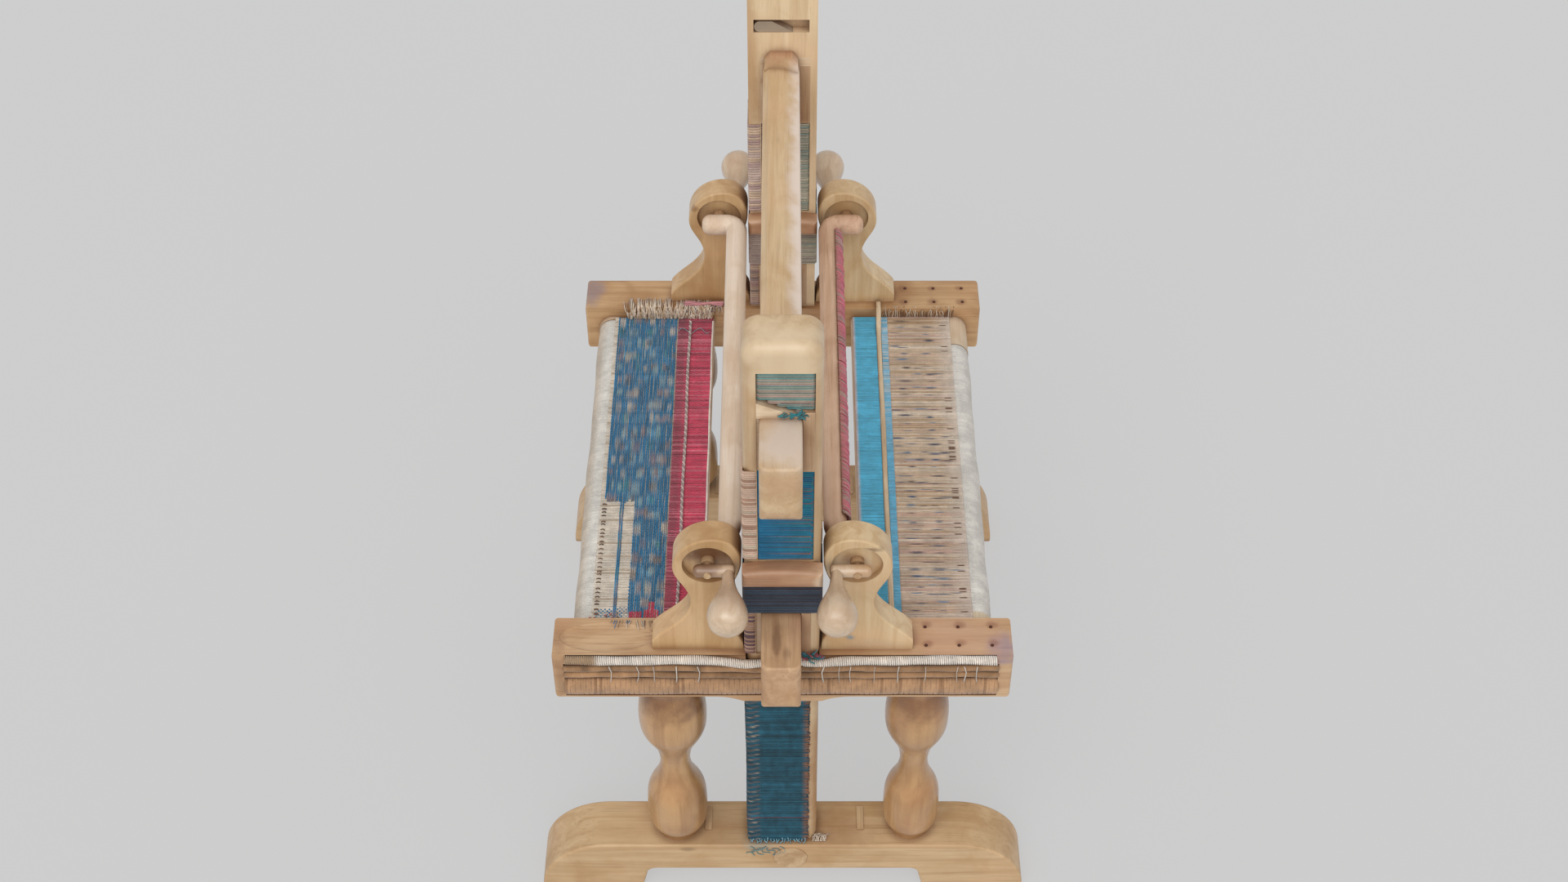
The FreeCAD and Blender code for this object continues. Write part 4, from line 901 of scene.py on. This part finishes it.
def post_windings(end):
    sign = -1 if end == "front" else 1
    wound = Strands()

    def wind(x0, x1, low, high, z0, z1, pitch, radius, colours, flat=0.8, patch=None):
        path = boxed_helix(x0, x1, low, high, z0, z1, pitch)
        path[:, 1] *= sign
        per_turn = 4 * PER_CORNER
        count = int(len(path) / per_turn) + 2
        picks = np.asarray(colours)[rng.integers(0, len(colours), count)]
        picks = picks * rng.uniform(0.88, 1.12, (count, 1))
        tints = np.repeat(picks, per_turn, 0)[:len(path)]
        if patch:
            tints = patch(path, tints)
        wound.add(path, radius, tints[None], flat=flat)

    cloth_blue, pink = rgb("246f96"), rgb("d2b49f")

    def window_patch(path, tints):
        right = ramp(path[:, 0], 20, 8)[:, None] * rng.random((len(path), 1))
        return blend(tints, right, np.where(rng.random((len(path), 1)) < 0.4, rgb("8a6a58"), TEAL))

    def rear_patch(path, tints):
        left = ramp(path[:, 0], 4, -8)[:, None]
        return blend(tints, left, vary(rgb("bba69b"), (len(path),), 0.1))

    if end == "front":
        wind(WINDOW_LEFT, WINDOW_RIGHT, POST_IN + 1.5, POST_OUT - 0.4, 587, 717, 1.95, 1.0,
             [cloth_blue, cloth_blue * 0.9, cloth_blue * 0.95, cloth_blue * 0.8, BLUE * 0.8],
             patch=window_patch)
        wind(-40.6, -26.0, POST_IN - 0.4, POST_OUT + 0.4, 588, 717, 3.0, 1.35,
             [pink, pink * 0.92, BEIGE * 0.9, rgb("b08a74"), pink], flat=1.2)
        zone = rgbs("9aa092 86a09a b3a494 b89a90 6f9a98 8a948a")

        def top_patch(path, tints):
            middle = np.exp(-((path[:, 0] - 6) / 7) ** 2)[:, None] * 0.75
            return blend(tints, middle, rgb("2f7f84"))

        wind(WINDOW_LEFT + 0.2, WINDOW_RIGHT, POST_IN + 4, POST_OUT - 3.6, 812, 849, 1.9, 0.95, zone,
             patch=top_patch)
        for z0, left in ((794, 13), (799.5, 4), (803, -5), (807, -14)):
            right = 19.2 if z0 < 799 else WINDOW_RIGHT
            wind(left, right, POST_IN + 4, POST_OUT - 3.6, z0, z0 + 5.8, 1.9, 0.95, zone, patch=top_patch)
    else:
        wind(WINDOW_LEFT, WINDOW_RIGHT, POST_IN + 1.5, POST_OUT - 0.4, 587, 717, 2.3, 1.1,
             rgbs("a6a796 b5af9a beb6a2 8f9f96 a9a997"), patch=rear_patch)
        wind(-40.6, -26.0, POST_IN - 0.4, POST_OUT + 0.4, 588, 717, 3.6, 1.3,
             rgbs("c8b0a4 d0b69e b59a92 cdb39b"), flat=1.8)

    def ends_patch(path, tints):
        ends = ramp(np.abs(path[:, 0]), 33, 7)[:, None] * 0.6
        return blend(tints, ends, vary(rgb("5a4238"), (len(path),), 0.15))

    band, low_wrap = "1d4f6c 1a4059 1f5a76 1b3a50 1d5570", "8a6660 a98670 6a5258 b39480"
    if end == "rear":
        band, low_wrap = "a6a796 b5af9a a3978a 8f9f96", "b0938a bfa28e 98847e c6ab96"
    wind(-41.4, 41.4, POST_IN - 1.4, POST_OUT + 1.4, 504, 560.5, 2.1, 1.1, rgbs(band),
         patch=ends_patch if end == "front" else rear_patch)
    wind(-40.4, -29.2, POST_IN - 0.4, POST_OUT + 0.4, 436, 503, 3.0, 1.3, rgbs(low_wrap), flat=1.2)
    piece = wound.build(end + "_windings", DYED)
    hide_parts(end + "_post_windings")
    return piece


def post_sleeve(end):
    """A fine blue cloth round the lower post, open along its right edge."""
    sign = -1 if end == "front" else 1
    loop = [(30, 310.0), (10, 310.2), (-12, 310.2), (-34, 310.1), (-40, 309.2), (-41.2, 306), (-41.2, 290),
            (-41.2, 275), (-41.2, 264), (-40, 260.8), (-34, 259.9), (-12, 259.8), (10, 259.8), (30, 260)]
    loop = np.array(loop)
    runs = np.concatenate([[0], np.cumsum(np.linalg.norm(np.diff(loop, axis=0), axis=1))])
    s = np.linspace(0, runs[-1], 46)
    plan = np.column_stack([np.interp(s, runs, loop[:, k]) for k in range(2)])
    out = np.column_stack([np.gradient(plan[:, 1]), -np.gradient(plan[:, 0])])
    out /= np.linalg.norm(out, axis=1, keepdims=True)
    zs = np.arange(SLEEVE_LOW + 0.5, SLEEVE_HIGH, 1.75)
    weave = Strands()
    wave = 0.18 * np.sin(np.arange(len(s)) * math.pi)[None] + 0.12 * rng.standard_normal((len(zs), len(s)))
    swell = 0.35 * np.sin(zs / 31)[:, None] * np.sin(s / 17)[None]
    paths = xyz(plan[:, 0] + out[:, 0] * (wave + swell), sign * (plan[:, 1] + out[:, 1] * (wave + swell)),
                zs[:, None] + 0.12 * smooth_random((len(zs), len(s)), 2))
    ragged = rng.uniform(-2.5, 1.5, len(zs))
    paths[:, 0, 0] += ragged
    paths[:, -1, 0] += ragged
    tints = np.asarray(rgbs("1f5062 225b6e 1d4654 1d4d5e"))[rng.integers(0, 4, len(zs))]
    tints = (tints * rng.uniform(0.85, 1.08, (len(zs), 1)))[:, None] * np.ones((1, len(s), 1))
    tints *= 1 + 0.1 * smooth_random((len(zs), len(s)), 2, 0)[..., None]
    diagonal = (np.arange(len(zs))[:, None] + np.arange(len(s))) % 5 < 2
    twill = ((plan[:, 0] < -28) & (plan[:, 0] > -42))[None] & diagonal
    tints[twill] = tints[twill] * 0.55 + 0.45 * rgb("7a6355")
    light = twill & (rng.random(twill.shape) < 0.14)
    tints[light] = rgb("93877a")
    edge = ramp(plan[:, 0], 22, 8)[None, :, None] * (rng.random((len(zs), 1, 1)) * 1.2)
    tints = blend(tints, np.clip(edge, 0, 1), rgb("9a6238"))
    red = np.abs(zs - 134) < 1.6
    tints[red] = tints[red] * 0.4 + 0.6 * rgb("6e2630")
    weave.add(paths, 1.0, tints, flat=0.95)
    # stitches along the foot
    for x0 in np.arange(-38, 30, 3.4):
        y0 = 311.4
        stitch = [(x0, sign * y0, 92 + rng.uniform(-1, 3)),
                  (x0 + rng.uniform(-2, 2), sign * (y0 + 0.6), 89),
                  (x0 + rng.uniform(-3, 3), sign * (y0 + rng.uniform(0.5, 4)), 87.8)]
        weave.add(stitch, 0.7, rgb("86aebb") * rng.uniform(0.7, 1.05), up=(1, 0, 0))
    weave_piece = weave.build(end + "_sleeve_weave", DYED)
    # the thin ground cloth behind the threads
    z = np.linspace(SLEEVE_LOW, SLEEVE_HIGH, 46)
    layers = []
    for inset in (0.0, CLOTH_THICK):
        x, y = (plan - inset * out).T[..., None]
        layers.append(xyz(x, sign * y, z).reshape(-1, 3))
    points = np.concatenate(layers)
    tints = np.broadcast_to(rgb("1b3644"), points.shape)
    cloth = mesh_object(end + "_sleeve_cloth", points * MM, shell_faces(len(s), len(z)), tints, SOFT)
    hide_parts(end + "_post_sleeve")
    return cloth, weave_piece


def scraps():
    """Loose ends caught round the post, the wedge, the rail and the front foot."""
    loose = Strands()
    teal, sky, red = rgb("1f8a94"), rgb("4f93b0"), rgb("b04a58")
    for _ in range(26):
        x, y, z = rng.uniform(22, 38), rng.uniform(-316, -309.5), 433.5 + rng.uniform(0, 5)
        curl = rng.uniform(-4, 4, (5, 3)) * (1, 0.7, 0.6)
        path = (x, y, z) + np.cumsum(curl, 0)
        path[:, 2] = np.clip(path[:, 2], 433, 441)
        tint = [teal, sky, red, teal][rng.integers(4)]
        loose.add(path, 0.7, tint * rng.uniform(0.7, 1.1), up=(0.3, 0.2, 0.9))
    for _ in range(20):
        x, z = rng.uniform(0, 26), rng.uniform(794, 799)
        path = [(x, -309.8, z), (x + rng.uniform(-5, 5), -311.5, z + rng.uniform(-4, 3)),
                (x + rng.uniform(-7, 7), -310.5, z + rng.uniform(-6, 6))]
        loose.add(path, 0.65, teal * rng.uniform(0.7, 1.1), up=(0.2, 0.9, 0.3))
    for k in range(7):
        t = np.linspace(0, 1, 12)
        path = xyz(-38 + 6 * k + 5 * np.sin(5 * t + k), -318.7, 84 - 14 * t + 2.5 * np.cos(7 * t + 2 * k))
        loose.add(path, 0.45, rgb("6f9796") * rng.uniform(0.8, 1.1), up=(0, 1, 0.1))
    for _ in range(26):
        x, z = rng.uniform(34, 52), 87.6
        path = [(x, -312, z + 0.3), (x + rng.uniform(-3, 3), -308, z + rng.uniform(1, 6)),
                (x + rng.uniform(-7, 7), -303, z + rng.uniform(0.5, 5))]
        loose.add(path, 0.35, rgb("d9c8b4") * rng.uniform(0.8, 1.05), up=(0.3, 0.1, 0.9))
    return loose.build("caught_scraps", YARN)


# Build everything that rides on the frame

frame_pieces = []
left = left_work()
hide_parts("left_tapestry")
red = red_work()
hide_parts("left_red_band")
frame_pieces += left + red + right_work() + [lease_stick()]
for end in ("front", "rear"):
    frame_pieces += [*rail_dressing(end), post_windings(end), *post_sleeve(end)]
frame_pieces += [*front_lacing(), scraps()]
for piece in frame_pieces:
    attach(piece, "frame")
roller_yarn("left", -250, 250, rgb("b59f84"))
roller_yarn("right", -236, 204, rgb("cfc8bf"))
bar_binding()

# Camera, floor and light

scene = bpy.context.scene
camera = bpy.data.cameras.new("camera")
camera.lens, camera.sensor_width = 50.0, 36.0
eye = linked("camera", camera)
eye.location = (0.0016, -1.8118, 2.263)
eye.rotation_euler = (math.radians(45), 0, 0)
scene.camera = eye

floor_mesh = bpy.data.meshes.new("floor")
span = 30.0
corners = [(-span, -span, 0), (span, -span, 0), (span, span, 0), (-span, span, 0)]
floor_mesh.from_pydata(corners, [], [(0, 1, 2, 3)])
floor = linked("floor", floor_mesh)
floor_look = Graph("floor_paper")
tone = floor_look.noise((900, 900, 900), 2)
floor_shader = floor_look.add("ShaderNodeBsdfDiffuse")
floor_look.feed(floor_shader.inputs["Color"], floor_look.mix(tone, rgb("6f6f6f"), rgb("707070")))
glow = floor_look.add("ShaderNodeEmission")
floor_look.feed(glow.inputs["Color"], (1.0, 1.0, 1.0))
glow.inputs["Strength"].default_value = 0.455
both = floor_look.add("ShaderNodeAddShader")
floor_look.links.new(floor_shader.outputs[0], both.inputs[0])
floor_look.links.new(glow.outputs[0], both.inputs[1])
floor_mesh.materials.append(floor_look.shown(both))

world = bpy.data.worlds.new("studio")
world.use_nodes = True
world.node_tree.nodes["Background"].inputs["Color"].default_value = (1, 1, 1, 1)
world.node_tree.nodes["Background"].inputs["Strength"].default_value = 0.62
scene.world = world
for name, turn, power in (("key", (38, -18, 0), 1.25), ("fill", (50, 30, 0), 0.45)):
    lamp = bpy.data.lights.new(name, "SUN")
    lamp.energy, lamp.angle = power, math.radians(50)
    linked(name, lamp).rotation_euler = [math.radians(a) for a in turn]
scene.view_settings.view_transform = "Standard"
